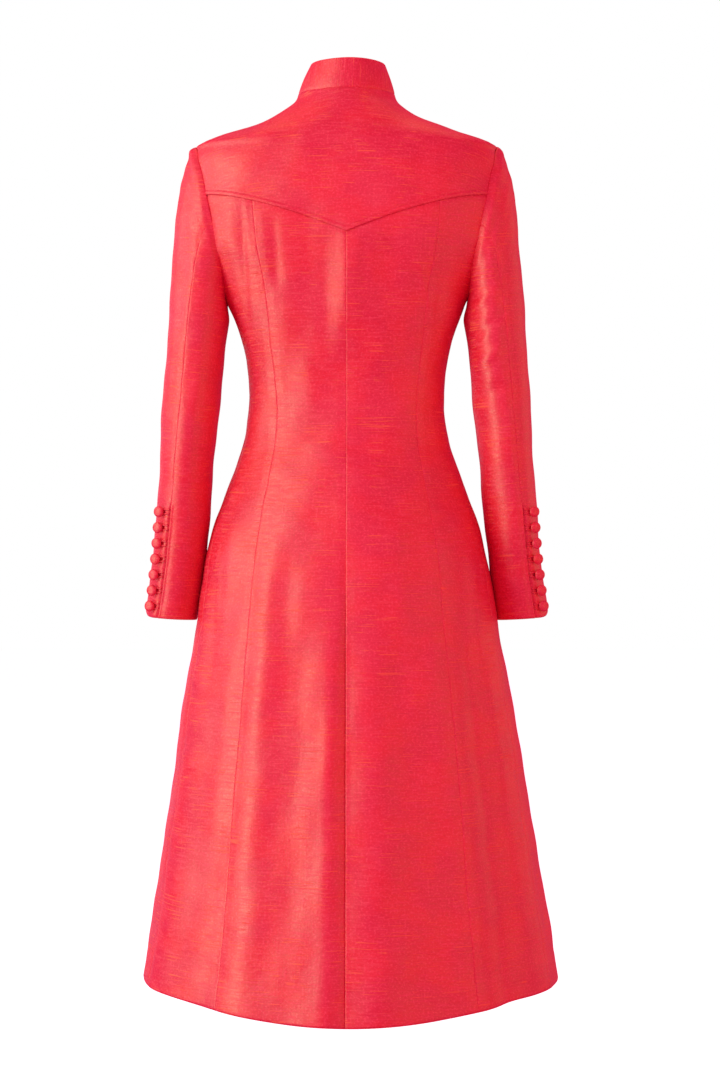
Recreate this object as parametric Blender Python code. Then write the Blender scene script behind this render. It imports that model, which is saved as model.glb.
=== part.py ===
"""A fitted, flared silk coat with a stand collar, a pointed back yoke and buttoned cuffs.

The coat is empty and keeps the form of a wearer. +Z is up, +Y is the wearer's front and +X the
wearer's right. The origin is in the middle of the neck opening, level with the collar seam.
Every panel is a cloth wall whose outer face lies on one shared form, so neighbours meet at seams.
"""

import bpy
import numpy as np
from mathutils import Matrix

# Cloth and seams, in metres
WALL = 0.0020
COLLAR_WALL = 0.0024
SEAM_GAP = 0.0004
ARMHOLE_GAP = 0.0006
NECK_GAP = 0.0004

# Levels of the body
SHOULDER_TIP = -0.0673
UNDERARM = -0.265
SIDE_HEM = -1.1622
HEM_DIP_BACK = 0.0185
HEM_DIP_POWER = 1.2
HEM_TILT = 0.0006
FRONT_NECK_DROP = 0.045

# Sections of the body: height, half width, depth behind and before the axis, and corner,
# which is how far the diagonals stand out from an ellipse, as a share.
BODY_SECTIONS = (
    # height, half_width, back_depth, front_depth, corner
    (0.0100, 0.0602, 0.054, 0.057, 0.000),
    (0.0000, 0.0637, 0.058, 0.060, 0.000),
    (-0.0052, 0.0652, 0.061, 0.062, 0.000),
    (-0.0118, 0.0692, 0.065, 0.065, 0.000),
    (-0.0184, 0.0772, 0.069, 0.068, 0.000),
    (-0.0250, 0.0876, 0.072, 0.070, 0.000),
    (-0.0382, 0.1150, 0.078, 0.075, 0.005),
    (-0.0514, 0.1525, 0.084, 0.080, 0.012),
    (-0.0580, 0.1740, 0.087, 0.083, 0.018),
    (-0.0673, 0.1975, 0.090, 0.085, 0.025),
    (-0.0760, 0.1998, 0.092, 0.088, 0.030),
    (-0.0878, 0.2034, 0.095, 0.092, 0.037),
    (-0.1080, 0.2050, 0.099, 0.097, 0.045),
    (-0.1470, 0.2060, 0.103, 0.109, 0.050),
    (-0.1930, 0.1950, 0.102, 0.122, 0.050),
    (-0.2430, 0.1700, 0.096, 0.131, 0.050),
    (-0.2650, 0.1600, 0.093, 0.132, 0.050),
    (-0.2903, 0.1498, 0.090, 0.130, 0.050),
    (-0.3310, 0.1365, 0.082, 0.116, 0.045),
    (-0.3640, 0.1307, 0.077, 0.105, 0.040),
    (-0.3970, 0.1284, 0.075, 0.099, 0.022),
    (-0.4370, 0.1315, 0.079, 0.100, 0.000),
    (-0.4660, 0.1380, 0.086, 0.104, -0.022),
    (-0.4960, 0.1490, 0.096, 0.109, -0.030),
    (-0.5300, 0.1610, 0.106, 0.115, -0.026),
    (-0.5860, 0.1798, 0.121, 0.124, -0.012),
    (-0.6120, 0.1845, 0.126, 0.127, -0.010),
    (-0.6380, 0.1880, 0.131, 0.130, -0.010),
    (-0.6652, 0.1923, 0.137, 0.134, -0.010),
    (-0.6916, 0.1967, 0.142, 0.137, -0.010),
    (-0.7642, 0.2105, 0.156, 0.147, -0.012),
    (-0.8632, 0.2264, 0.176, 0.164, -0.016),
    (-0.9622, 0.2409, 0.195, 0.181, -0.020),
    (-1.0612, 0.2574, 0.214, 0.199, -0.024),
    (-1.1650, 0.2730, 0.235, 0.217, -0.028),
    (-1.2000, 0.2785, 0.242, 0.223, -0.030),
)

# Soft folds of the skirt: angle from the centre back towards +X, half width, depth at the hem
# (out is positive) and the height where the fold begins.
SKIRT_FOLDS = (
    # angle_deg, width_deg, depth, begins
    (-62.0, 9.0, 0.0050, -0.62),
    (-43.0, 7.0, -0.0025, -0.66),
    (-28.0, 8.0, 0.0030, -0.56),
    (9.0, 7.0, 0.0020, -0.58),
    (27.0, 8.0, -0.0030, -0.60),
    (41.0, 7.0, 0.0035, -0.56),
    (53.0, 6.0, -0.0025, -0.66),
    (67.0, 8.0, 0.0050, -0.62),
    (90.0, 22.0, 0.0065, -0.60),
    (-90.0, 22.0, -0.0045, -0.60),
    (112.0, 8.0, 0.008, -0.64),
    (131.0, 7.0, -0.006, -0.60),
    (150.0, 8.0, 0.009, -0.58),
    (-108.0, 7.0, 0.008, -0.66),
    (-126.0, 8.0, -0.007, -0.60),
    (-147.0, 8.0, 0.009, -0.57),
)

# The centre-back seam lies in a valley that is wider on the left than on the right.
SEAM_VALLEY_DEPTH = 0.0045
SEAM_VALLEY_BEGINS = -0.50
SEAM_VALLEY_LEFT_DEG = 6.0
SEAM_VALLEY_RIGHT_DEG = 4.0

# Seam lines of the back: the half width of the curved seam at each height.
BACK_SEAM = (
    # height, from_centre
    (-0.100, 0.1240),
    (-0.150, 0.1210),
    (-0.206, 0.1150),
    (-0.2525, 0.1065),
    (-0.329, 0.0985),
    (-0.369, 0.0940),
    (-0.417, 0.0905),
    (-0.456, 0.0920),
    (-0.509, 0.1005),
    (-0.547, 0.1080),
    (-0.590, 0.1145),
    (-0.639, 0.1200),
    (-0.688, 0.1235),
    (-0.762, 0.1290),
    (-0.900, 0.1400),
    (-1.033, 0.1495),
    (-1.200, 0.1650),
)

# The side seam: its angle from the centre back at each height.
SIDE_SEAM = (
    # height, angle_deg
    (-0.200, 90.0),
    (-0.265, 90.0),
    (-0.330, 88.0),
    (-0.440, 83.0),
    (-0.560, 77.0),
    (-0.700, 73.0),
    (-0.900, 71.0),
    (-1.200, 70.0),
)

# The yoke's pointed lower edge
YOKE_SIDE_HEIGHT = -0.139
YOKE_SIDE_WIDTH = 0.1817
YOKE_POINT_DROP = 0.0526
YOKE_CURVE = 1.4
YOKE_LIP_LIFT = 0.0011
YOKE_LIP_WIDTH = 0.0055
YOKE_LIP_STEP = 0.2

# The armhole: how far its edge runs round from the side, and how much lower it is fullest.
ARMHOLE_BACK_DEG = 34.0
ARMHOLE_BACK_EGG = 0.05
ARMHOLE_FRONT_DEG = 30.0
ARMHOLE_FRONT_EGG = 0.20

# The front lap: each front runs past the centre, and the right one lies over the left.
LAP_PAST_CENTRE = 0.012
LAP_LIFT = WALL + 0.0008
LAP_LEVEL = 0.040
LAP_EASE = 0.050

# The stand collar
COLLAR_HEIGHT_BACK = 0.041
COLLAR_HEIGHT_FRONT = 0.038
COLLAR_TOP_HALF_WIDTH = 0.0492
COLLAR_TOP_BACK = 0.0500
COLLAR_TOP_FRONT = 0.0580
COLLAR_END_GAP = 0.0010

# Sections of the right sleeve below its cap
SLEEVE_SECTIONS = (
    # height, outer_x, inner_x, half_depth, middle_y
    (-0.3000, 0.2348, 0.1552, 0.0600, -0.004),
    (-0.3484, 0.2381, 0.1612, 0.0585, -0.007),
    (-0.4012, 0.2412, 0.1666, 0.0570, -0.009),
    (-0.4540, 0.2446, 0.1712, 0.0550, -0.008),
    (-0.5068, 0.2480, 0.1764, 0.0530, -0.004),
    (-0.5596, 0.2518, 0.1812, 0.0508, 0.002),
    (-0.6124, 0.2568, 0.1866, 0.0485, 0.009),
    (-0.6520, 0.2616, 0.1924, 0.0468, 0.014),
    (-0.6950, 0.2668, 0.1985, 0.0455, 0.019),
)
CUFF_MIDDLE = -0.6895
CUFF_SLANT = 0.0025

# How the sleeve cap leaves the armhole at its top, its sides and the underarm
CAP_TOP = (0.086, 0.000, -0.030)
CAP_SIDE = (0.042, 0.012, -0.040)
CAP_UNDER = (0.007, 0.000, -0.030)

# Sleeve seams: angles round the sleeve from its outermost line towards the back
HINDARM_TOP_DEG = 81.0
HINDARM_CUFF_DEG = 66.0
HINDARM_CAP_DEG = 17.0
HINDARM_TOP_HEIGHT = -0.150
HINDARM_CUFF_HEIGHT = -0.620
FOREARM_DEG = 235.0

# Cuff buttons and their loops: the buttons tip back from the cloth's direction by this share
BUTTON_COUNT = 7
BUTTON_TOP = -0.549
BUTTON_PITCH = 0.0206
BUTTON_DEG = 43.0
BUTTON_TIP = 1.0
BUTTON_SIDES = 10
BUTTON_PROFILE = (
    # radius, height above the cloth
    (0.0021, 0.0015),
    (0.0021, 0.0048),
    (0.0056, 0.0050),
    (0.0073, 0.0064),
    (0.0069, 0.0082),
    (0.0044, 0.0098),
)
BUTTON_CROWN = 0.0104
LOOP_RADIUS = 0.0009
LOOP_RISE = 0.0014
LOOP_HALF_SPREAD = 0.0032
LOOP_SEAM_CLEAR = 0.0016
LOOP_FOOT_SHARE = 0.85
LOOP_TURN_STEPS = 6
LOOP_BEVEL = 1

# Grid sizes, and how rows and columns crowd towards the waist, the centre back and the armhole
WAIST_CROWDING = 0.10
CENTRE_BACK_CROWDING = 1.35
CAP_CROWDING = 1.3
YOKE_COLUMNS = 26
CENTRE_BACK_COLUMNS = 9
SIDE_BACK_COLUMNS = 8
FRONT_COLUMNS = 15
SHOULDER_ROWS = 6
YOKE_ROWS = 6
ARMHOLE_ROWS = 7
UPPER_BACK_ROWS = 5
SKIRT_ROWS = 17
COLLAR_COLUMNS = 40
COLLAR_ROWS = 3
CAP_ROWS = 8
SLEEVE_ROWS = 9
TOP_SLEEVE_COLUMNS = 14
UNDER_SLEEVE_COLUMNS = 11

# The coat's one cloth: colour, roughness and metallic value
SILK_COLOUR = (0.740, 0.040, 0.058, 1.0)
SILK_ROUGHNESS = 0.42
SILK_METALLIC = 0.0

# Edges sharper than these are shaded as corners
WALL_CORNER_DEG = 40.0
BUTTON_CORNER_DEG = 50.0

HALF_TURN = np.pi
QUARTER_TURN = np.pi / 2
DIFFERENCE = 1e-4
SOLVING_STEPS = 12


def smooth_curve(rows, column):
    """A function of height: cubic pieces through one column of a table, with no corners."""
    ordered = sorted(rows)
    heights = np.array([row[0] for row in ordered])
    values = np.array([row[column] for row in ordered])
    slopes = np.gradient(values, heights)

    def value_at(height):
        inside = np.clip(height, heights[0], heights[-1])
        index = np.clip(np.searchsorted(heights, inside, side="right") - 1, 0, len(heights) - 2)
        span = heights[index + 1] - heights[index]
        share = (inside - heights[index]) / span
        rest = 1 - share
        start = (1 + 2 * share) * rest**2 * values[index] + share * rest**2 * span * slopes[index]
        end = share**2 * (1 + 2 * rest) * values[index + 1] - share**2 * rest * span * slopes[index + 1]
        return start + end

    return value_at


half_width = smooth_curve(BODY_SECTIONS, 1)
back_depth = smooth_curve(BODY_SECTIONS, 2)
front_depth = smooth_curve(BODY_SECTIONS, 3)
corner_share = smooth_curve(BODY_SECTIONS, 4)
back_seam = smooth_curve(BACK_SEAM, 1)
side_seam_deg = smooth_curve(SIDE_SEAM, 1)
sleeve_outer = smooth_curve(SLEEVE_SECTIONS, 1)
sleeve_inner = smooth_curve(SLEEVE_SECTIONS, 2)
sleeve_half_depth = smooth_curve(SLEEVE_SECTIONS, 3)
sleeve_middle = smooth_curve(SLEEVE_SECTIONS, 4)


def eased(share):
    """0 to 1 with level ends."""
    inside = np.clip(share, 0, 1)
    return inside * inside * (3 - 2 * inside)


def normalised(vectors):
    return vectors / np.linalg.norm(vectors, axis=-1, keepdims=True)


def bump(angle, centre_deg, width_deg):
    """A bell round an angle, the short way round the body."""
    away = (np.degrees(angle) - centre_deg + 180) % 360 - 180
    return np.exp(-((away / width_deg) ** 2))


def growth(height, begins):
    """How much of a fold there is: none where it begins, all of it at the hem."""
    return eased((begins - height) / (begins - SIDE_HEM))


def fold_height(angle, height):
    """How far the folds move the form out at this angle and height."""
    out = np.zeros(np.broadcast(angle, height).shape)
    for centre_deg, width_deg, depth, begins in SKIRT_FOLDS:
        out = out + depth * bump(angle, centre_deg, width_deg) * growth(height, begins)
    valley_width = np.where(np.sin(angle) < 0, SEAM_VALLEY_LEFT_DEG, SEAM_VALLEY_RIGHT_DEG)
    valley = bump(angle, 0.0, valley_width) * growth(height, SEAM_VALLEY_BEGINS)
    return out - SEAM_VALLEY_DEPTH * valley


def body(angle, height):
    """The coat's form at an angle round from the centre back, towards +X, and a height."""
    diagonal = 1 + corner_share(height) * np.sin(2 * angle) ** 2
    depth = np.where(np.cos(angle) > 0, back_depth(height), front_depth(height))
    x = half_width(height) * np.sin(angle) * diagonal
    y = -depth * np.cos(angle) * diagonal
    swell = 1 + fold_height(angle, height) / np.hypot(x, y)
    return np.stack(np.broadcast_arrays(x * swell, y * swell, height), axis=-1)


def body_normal(angle, height):
    round_the_body = body(angle + DIFFERENCE, height) - body(angle - DIFFERENCE, height)
    up_the_body = body(angle, height + DIFFERENCE) - body(angle, height - DIFFERENCE)
    return normalised(np.cross(round_the_body, up_the_body))


def angle_for(distance, angle, height):
    """The change of angle that covers a distance round the body."""
    step = body(angle + DIFFERENCE, height) - body(angle - DIFFERENCE, height)
    return distance * 2 * DIFFERENCE / np.linalg.norm(step, axis=-1)


def angle_at(from_centre, height):
    """The angle behind the side where the form is this far from the centre plane."""
    angle = np.arcsin(np.clip(from_centre / half_width(height), 0, 1))
    for _ in range(SOLVING_STEPS):
        diagonal = 1 + corner_share(height) * np.sin(2 * angle) ** 2
        angle = np.arcsin(np.clip(from_centre / (half_width(height) * diagonal), 0, 1))
    return angle


def armhole_share(height):
    """The armhole's level from -1 at the shoulder tip to 1 at the underarm."""
    return np.clip(2 * (SHOULDER_TIP - height) / (SHOULDER_TIP - UNDERARM) - 1, -1, 1)


def armhole_opening(height, widest_deg, egg):
    """How far round from the side the armhole's edge is: a half ellipse, fuller below."""
    level = armhole_share(height)
    return np.radians(widest_deg) * np.sqrt(1 - level**2) * (1 + egg * level)


def back_outer_angle(height):
    """The back's outer edge: the shoulder seam, the armhole, then the side seam."""
    opening = armhole_opening(height, ARMHOLE_BACK_DEG, ARMHOLE_BACK_EGG)
    return np.radians(side_seam_deg(height)) - opening


def front_outer_angle(height):
    """The front's outer edge: the shoulder seam, the armhole, then the side seam."""
    opening = armhole_opening(height, ARMHOLE_FRONT_DEG, ARMHOLE_FRONT_EGG)
    return np.radians(side_seam_deg(height)) + opening


def neck_height(angle):
    """The collar seam: level behind the shoulders and dipping to the centre front."""
    past_side = np.clip(np.abs(angle) - QUARTER_TURN, 0, QUARTER_TURN)
    return -FRONT_NECK_DROP * np.sin(past_side) ** 2


def hem_height(angle):
    """The hem: it dips at the back and hangs a little lower on the right."""
    dip = HEM_DIP_BACK * np.clip(np.cos(angle), 0, 1) ** HEM_DIP_POWER
    return SIDE_HEM - dip - HEM_TILT * np.sin(angle)


def yoke_edge(from_centre):
    """The yoke's lower edge: it dips from the armhole to a point at the centre back."""
    share = np.clip(1 - np.abs(from_centre) / YOKE_SIDE_WIDTH, 0, 1)
    return YOKE_SIDE_HEIGHT - YOKE_POINT_DROP * share**YOKE_CURVE


def yoke_edge_on(angle_of):
    """The height where each column's line meets the yoke's edge, found by repeated steps."""
    height = np.full(np.shape(angle_of(YOKE_SIDE_HEIGHT)), YOKE_SIDE_HEIGHT)
    for _ in range(SOLVING_STEPS):
        height = yoke_edge(body(angle_of(height), height)[..., 0])
    return height


def cosine_shares(count, from_level, to_level):
    """Row shares that are close together near the armhole's top and bottom."""
    turns = np.linspace(np.arccos(-from_level), np.arccos(-to_level), count + 1)
    spread = np.cos(turns[0]) - np.cos(turns)
    return spread / spread[-1]


def skirt_shares():
    """Row shares from underarm to hem, closer together round the waist."""
    even = np.linspace(0, 1, SKIRT_ROWS + 1)
    return even - WAIST_CROWDING * np.sin(2 * np.pi * even) * (1 - even) / np.pi


def make_material(name):
    material = bpy.data.materials.new(name)
    material.use_nodes = True
    shader = material.node_tree.nodes["Principled BSDF"]
    shader.inputs["Base Color"].default_value = SILK_COLOUR
    shader.inputs["Roughness"].default_value = SILK_ROUGHNESS
    shader.inputs["Metallic"].default_value = SILK_METALLIC
    return material


def add_object(name, data):
    thing = bpy.data.objects.new(name, data)
    bpy.context.scene.collection.objects.link(thing)
    data.materials.append(make_material(name))
    return thing


def grid_faces(rows, columns, first, flipped):
    """Quads of a grid of points, numbered row by row from the given first point."""
    row, column = np.meshgrid(np.arange(rows - 1), np.arange(columns - 1), indexing="ij")
    corner = (first + row * columns + column).ravel()
    quads = np.stack([corner, corner + 1, corner + columns + 1, corner + columns], axis=1)
    return quads[:, ::-1] if flipped else quads


def add_wall(name, outer, inner):
    """A closed wall between two grids of points that match, row by row from the top down.

    The grids' columns run so that the outer face looks out; the rim joins the two edges.
    """
    rows, columns = outer.shape[:2]
    count = rows * columns
    numbers = np.arange(count).reshape(rows, columns)
    edge = np.concatenate([numbers[0, :-1], numbers[:-1, -1], numbers[-1, :0:-1], numbers[:0:-1, 0]])
    after = np.roll(edge, -1)
    rim = np.stack([edge, after, after + count, edge + count], axis=1)
    faces = np.concatenate(
        [
            grid_faces(rows, columns, 0, True),
            grid_faces(rows, columns, count, False),
            rim,
        ]
    )
    points = np.concatenate([outer.reshape(-1, 3), inner.reshape(-1, 3)])
    mesh = bpy.data.meshes.new(name)
    mesh.from_pydata(points.tolist(), [], faces.tolist())
    mesh.shade_smooth()
    mesh.set_sharp_from_angle(angle=np.radians(WALL_CORNER_DEG))
    return add_object(name, mesh)


def add_body_wall(name, angle, height, lift=0.0):
    """A wall on the body's form; angles grow along each row, and lift moves it out."""
    normal = body_normal(angle, height)
    outer = body(angle, height) + normal * np.asarray(lift)[..., None]
    return add_wall(name, outer, outer - WALL * normal)


def between(start, end, shares):
    return start + (end - start) * shares


def make_yoke():
    """The back yoke: shoulder rows down to the tips, then rows that bend to the point."""
    across = np.linspace(-1, 1, YOKE_COLUMNS + 1)
    side = 1 - SEAM_GAP / 2 / (QUARTER_TURN * back_depth(SHOULDER_TIP))

    def angle_of(height):
        return across * back_outer_angle(height) * side

    top = np.full(across.shape, -NECK_GAP)
    bottom = yoke_edge_on(angle_of) + SEAM_GAP / 2
    lip = bottom + YOKE_LIP_WIDTH
    shoulder = [between(top, SHOULDER_TIP, share) for share in np.linspace(0, 1, SHOULDER_ROWS + 1)]
    end_level = armhole_share(YOKE_SIDE_HEIGHT)
    lower_shares = cosine_shares(YOKE_ROWS, -1, end_level)[1:]
    lower = [between(SHOULDER_TIP, lip, share) for share in lower_shares]
    height = np.array(shoulder + lower + [between(lip, bottom, YOKE_LIP_STEP), bottom])
    lift = np.zeros(height.shape)
    lift[-2:] = YOKE_LIP_LIFT
    add_body_wall("yoke", angle_of(height), height, lift)


def lower_heights(top, angle_of_hem, first_rows):
    """Heights of the rows of a panel: from its top edge to the underarm, then to the hem."""
    hem = hem_height(angle_of_hem)
    upper = [between(top, UNDERARM, share) for share in first_rows]
    skirt = [between(UNDERARM, hem, share) for share in skirt_shares()[1:]]
    return np.array(upper + skirt)


def upper_back_rows():
    return cosine_shares(UPPER_BACK_ROWS, armhole_share(YOKE_SIDE_HEIGHT), 1)


def make_centre_back(name, side):
    """The panel from the centre-back seam to the curved seam, under the yoke."""
    even = np.linspace(0, 1, CENTRE_BACK_COLUMNS + 1)
    shares = between(even**CENTRE_BACK_CROWDING, even, even)

    def angle_of(height):
        seam = angle_at(back_seam(height), height)
        inset = angle_for(SEAM_GAP / 2, seam, height)
        start = angle_for(SEAM_GAP / 2, 0.0, height)
        return side * between(start, seam - inset, shares)

    top = yoke_edge_on(angle_of) - SEAM_GAP / 2
    height = lower_heights(top, angle_of(SIDE_HEM), upper_back_rows())
    angle = angle_of(height)
    add_body_wall(name, angle[:, ::side], height[:, ::side])


def make_side_back(name, side):
    """The panel from the curved seam out to the armhole and the side seam."""
    shares = np.linspace(0, 1, SIDE_BACK_COLUMNS + 1)

    def angle_of(height):
        seam = angle_at(back_seam(height), height)
        outer = back_outer_angle(height)
        inset = angle_for(SEAM_GAP / 2, seam, height)
        return side * between(seam + inset, outer - angle_for(SEAM_GAP / 2, outer, height), shares)

    top = yoke_edge_on(angle_of) - SEAM_GAP / 2
    height = lower_heights(top, angle_of(SIDE_HEM), upper_back_rows())
    angle = angle_of(height)
    add_body_wall(name, angle[:, ::side], height[:, ::side])


def make_front(name, side, lifted):
    """A whole front, from the shoulder, armhole and side seam to just past the centre front."""
    shares = np.linspace(0, 1, FRONT_COLUMNS + 1)

    def angle_of(height):
        outer = front_outer_angle(height)
        inset = angle_for(SEAM_GAP / 2, outer, height)
        past = angle_for(LAP_PAST_CENTRE, HALF_TURN, height)
        return between(outer + inset, HALF_TURN + past, shares)

    neck = np.full(shares.shape, SHOULDER_TIP)
    for _ in range(SOLVING_STEPS):
        neck = neck_height(angle_of(neck)) - NECK_GAP
    shoulder = [between(neck, SHOULDER_TIP, share) for share in np.linspace(0, 1, SHOULDER_ROWS + 1)]
    armhole = [
        np.full(shares.shape, between(SHOULDER_TIP, UNDERARM, share))
        for share in cosine_shares(ARMHOLE_ROWS, -1, 1)[1:]
    ]
    hem = hem_height(side * angle_of(SIDE_HEM))
    skirt = [between(UNDERARM, hem, share) for share in skirt_shares()[1:]]
    height = np.array(shoulder + armhole + skirt)
    angle = angle_of(height)
    towards_lap = LAP_LEVEL + LAP_EASE - np.abs(body(angle, height)[..., 0])
    over_centre = np.where(angle > HALF_TURN, 1.0, eased(towards_lap / LAP_EASE))
    lift = LAP_LIFT * over_centre if lifted else np.zeros(height.shape)
    add_body_wall(name, (side * angle)[:, ::side], height[:, ::side], lift[:, ::side])


def collar_point(angle, share):
    """The collar's outer face: straight lines from the neck seam to its narrower top edge."""
    bottom = body(angle, neck_height(angle))
    past_side = np.clip(np.abs(angle) - QUARTER_TURN, 0, QUARTER_TURN)
    rise = between(COLLAR_HEIGHT_BACK, COLLAR_HEIGHT_FRONT, np.sin(past_side) ** 2)
    depth = np.where(np.cos(angle) > 0, COLLAR_TOP_BACK, COLLAR_TOP_FRONT)
    top_x = COLLAR_TOP_HALF_WIDTH * np.sin(angle)
    top_y = -depth * np.cos(angle)
    top = np.stack(np.broadcast_arrays(top_x, top_y, neck_height(angle) + rise), axis=-1)
    return between(bottom, top, np.asarray(share)[..., None])


def make_collar():
    """The stand collar, one band whose ends meet at the centre front."""
    end = HALF_TURN - COLLAR_END_GAP / 2 / COLLAR_TOP_FRONT
    angles = np.linspace(-end, end, COLLAR_COLUMNS + 1)
    foot = SEAM_GAP / 2 / COLLAR_HEIGHT_BACK
    shares = np.linspace(1, foot, COLLAR_ROWS + 1)
    share, angle = np.meshgrid(shares, angles, indexing="ij")
    outer = collar_point(angle, share)
    round_the_neck = collar_point(angle + DIFFERENCE, share) - collar_point(angle - DIFFERENCE, share)
    up_the_neck = collar_point(angle, share + DIFFERENCE) - collar_point(angle, share - DIFFERENCE)
    normal = normalised(np.cross(round_the_neck, up_the_neck))
    add_wall("collar", outer, outer - COLLAR_WALL * normal)


def back_armhole_heights():
    """Heights of the corners along the back of the armhole, on the yoke and the side back."""
    end_level = armhole_share(YOKE_SIDE_HEIGHT)
    lip = YOKE_SIDE_HEIGHT + YOKE_LIP_WIDTH
    yoke_rows = between(SHOULDER_TIP, lip, cosine_shares(YOKE_ROWS, -1, end_level))
    return np.append(yoke_rows, between(YOKE_SIDE_HEIGHT, UNDERARM, upper_back_rows()))


def front_armhole_heights():
    """Heights of the corners along the front of the armhole."""
    return between(SHOULDER_TIP, UNDERARM, cosine_shares(ARMHOLE_ROWS, -1, 1))


def armhole_point(turn):
    """The armhole's edge on the body: 0 is the shoulder tip, and turns go by the back.

    It runs straight from corner to corner of the panels round it, so the sleeve fits them.
    """
    height = between(UNDERARM, SHOULDER_TIP, (1 + np.cos(turn)) / 2)
    back_heights = back_armhole_heights()[::-1]
    back_edge = body(back_outer_angle(back_heights), back_heights)
    front_heights = front_armhole_heights()[::-1]
    front_edge = body(front_outer_angle(front_heights), front_heights)
    behind = np.sin(turn) >= 0
    places = [
        np.where(
            behind,
            np.interp(height, back_heights, back_edge[:, axis]),
            np.interp(height, front_heights, front_edge[:, axis]),
        )
        for axis in (0, 1)
    ]
    return np.stack([*places, height], axis=-1)


def sleeve_ring(turn, height):
    """A level ring of the right sleeve below its cap."""
    middle_x = (sleeve_outer(height) + sleeve_inner(height)) / 2
    half_x = (sleeve_outer(height) - sleeve_inner(height)) / 2
    x = middle_x + half_x * np.cos(turn)
    y = sleeve_middle(height) - sleeve_half_depth(height) * np.sin(turn)
    return np.stack(np.broadcast_arrays(x, y, height), axis=-1)


def cap_start(turn):
    """The direction and pull with which the sleeve cap leaves the armhole."""
    top = ((1 + np.cos(turn)) / 2) ** 2
    under = ((1 - np.cos(turn)) / 2) ** 2
    aside = 1 - top - under
    pull = top[..., None] * np.array(CAP_TOP) + under[..., None] * np.array(CAP_UNDER)
    side = np.array(CAP_SIDE) * np.stack(
        [np.ones(turn.shape), -np.sign(np.sin(turn)), np.ones(turn.shape)], axis=-1
    )
    return pull + aside[..., None] * side


def sleeve_point(turn, along):
    """The right sleeve's outer face: along runs 0 to 1 down the cap and 1 to 2 to the cuff.

    The cap is a cubic from the armhole's edge to the first level ring.
    """
    turn, along = np.broadcast_arrays(np.asarray(turn, float), np.asarray(along, float))
    first = SLEEVE_SECTIONS[0][0]
    start = armhole_point(turn)
    pull = cap_start(turn)
    start = start + ARMHOLE_GAP * normalised(pull)
    end = sleeve_ring(turn, np.full(turn.shape, first))
    below = sleeve_ring(turn, np.full(turn.shape, first - DIFFERENCE))
    drop = (start[..., 2] - first)[..., None]
    leave = (below - end) / DIFFERENCE * drop
    share = np.clip(along, 0, 1)[..., None]
    rest = 1 - share
    cap = (1 + 2 * share) * rest**2 * start + share * rest**2 * pull
    cap = cap + share**2 * (1 + 2 * rest) * end - share**2 * rest * leave
    cuff = CUFF_MIDDLE + CUFF_SLANT * np.cos(turn)
    arm = sleeve_ring(turn, between(first, cuff, np.clip(along - 1, 0, 1)))
    return np.where(along[..., None] <= 1, cap, arm)


def sleeve_normal(turn, along):
    round_the_arm = sleeve_point(turn + DIFFERENCE, along) - sleeve_point(turn - DIFFERENCE, along)
    before = np.clip(along - DIFFERENCE, 0, 2)
    after = np.clip(along + DIFFERENCE, 0, 2)
    down_the_arm = sleeve_point(turn, after) - sleeve_point(turn, before)
    return normalised(np.cross(round_the_arm, down_the_arm))


def hindarm_turn(height):
    """The hindarm seam's place round the sleeve, nearer the outside towards the cuff."""
    share = (height - HINDARM_TOP_HEIGHT) / (HINDARM_CUFF_HEIGHT - HINDARM_TOP_HEIGHT)
    return np.radians(between(HINDARM_TOP_DEG, HINDARM_CUFF_DEG, np.clip(share, 0, 1)))


def hindarm_along(along):
    """The hindarm seam's turn for rows of the sleeve, bending in towards the body up the cap."""
    middle_turn = np.radians((HINDARM_TOP_DEG + HINDARM_CUFF_DEG) / 2)
    height = sleeve_point(np.full(np.shape(along), middle_turn), along)[..., 2]
    return hindarm_turn(height) + np.radians(HINDARM_CAP_DEG) * np.clip(1 - along, 0, 1) ** 2


def mirrored(points, side):
    return points * np.array((side, 1, 1))


def make_sleeve_piece(name, side, columns, from_turn, to_turn):
    """One piece of a sleeve between two seams, whose turns are given for each row."""
    cap = np.linspace(0, 1, CAP_ROWS + 1) ** CAP_CROWDING
    along = np.concatenate([cap, np.linspace(1, 2, SLEEVE_ROWS + 1)[1:]])
    inset = SEAM_GAP / 2 / SLEEVE_SECTIONS[-1][3]
    start = from_turn(along) + inset
    end = to_turn(along) - inset
    turn = between(start[:, None], end[:, None], np.linspace(0, 1, columns + 1)[None, :])
    rows = np.broadcast_to(along[:, None], turn.shape)
    outer = sleeve_point(turn, rows)
    inner = outer - WALL * sleeve_normal(turn, rows)
    outer = mirrored(outer, side)[:, ::-side]
    inner = mirrored(inner, side)[:, ::-side]
    add_wall(name, outer, inner)


def forearm_along(along):
    return np.full(np.shape(along), np.radians(FOREARM_DEG))


def forearm_before(along):
    return forearm_along(along) - 2 * np.pi


def along_for(turn, height):
    """The place along the sleeve, below the cap, where a line reaches a height."""
    first = SLEEVE_SECTIONS[0][0]
    cuff = CUFF_MIDDLE + CUFF_SLANT * np.cos(turn)
    return 1 + (height - first) / (cuff - first)


def cuff_place(turn, height, rise):
    """A point this far out from the cuff's cloth, and the cloth's direction there."""
    along = along_for(turn, height)
    normal = sleeve_normal(turn, along)
    return sleeve_point(turn, along) + rise * normal, normal


def button_frame(height, side):
    """A button's place on the cuff: its third axis points out of the cloth, tipped to the back."""
    point, normal = cuff_place(np.radians(BUTTON_DEG), np.asarray(height), 0.0)
    point = mirrored(point, side)
    out = normalised(mirrored(normal, side) + BUTTON_TIP * np.array((0.0, -1.0, 0.0)))
    level = normalised(np.cross((0.0, 0.0, 1.0), out))
    upright = np.cross(out, level)
    frame = Matrix.Identity(4)
    for row in range(3):
        frame[row][:] = (level[row], upright[row], out[row], point[row])
    return frame


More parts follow.
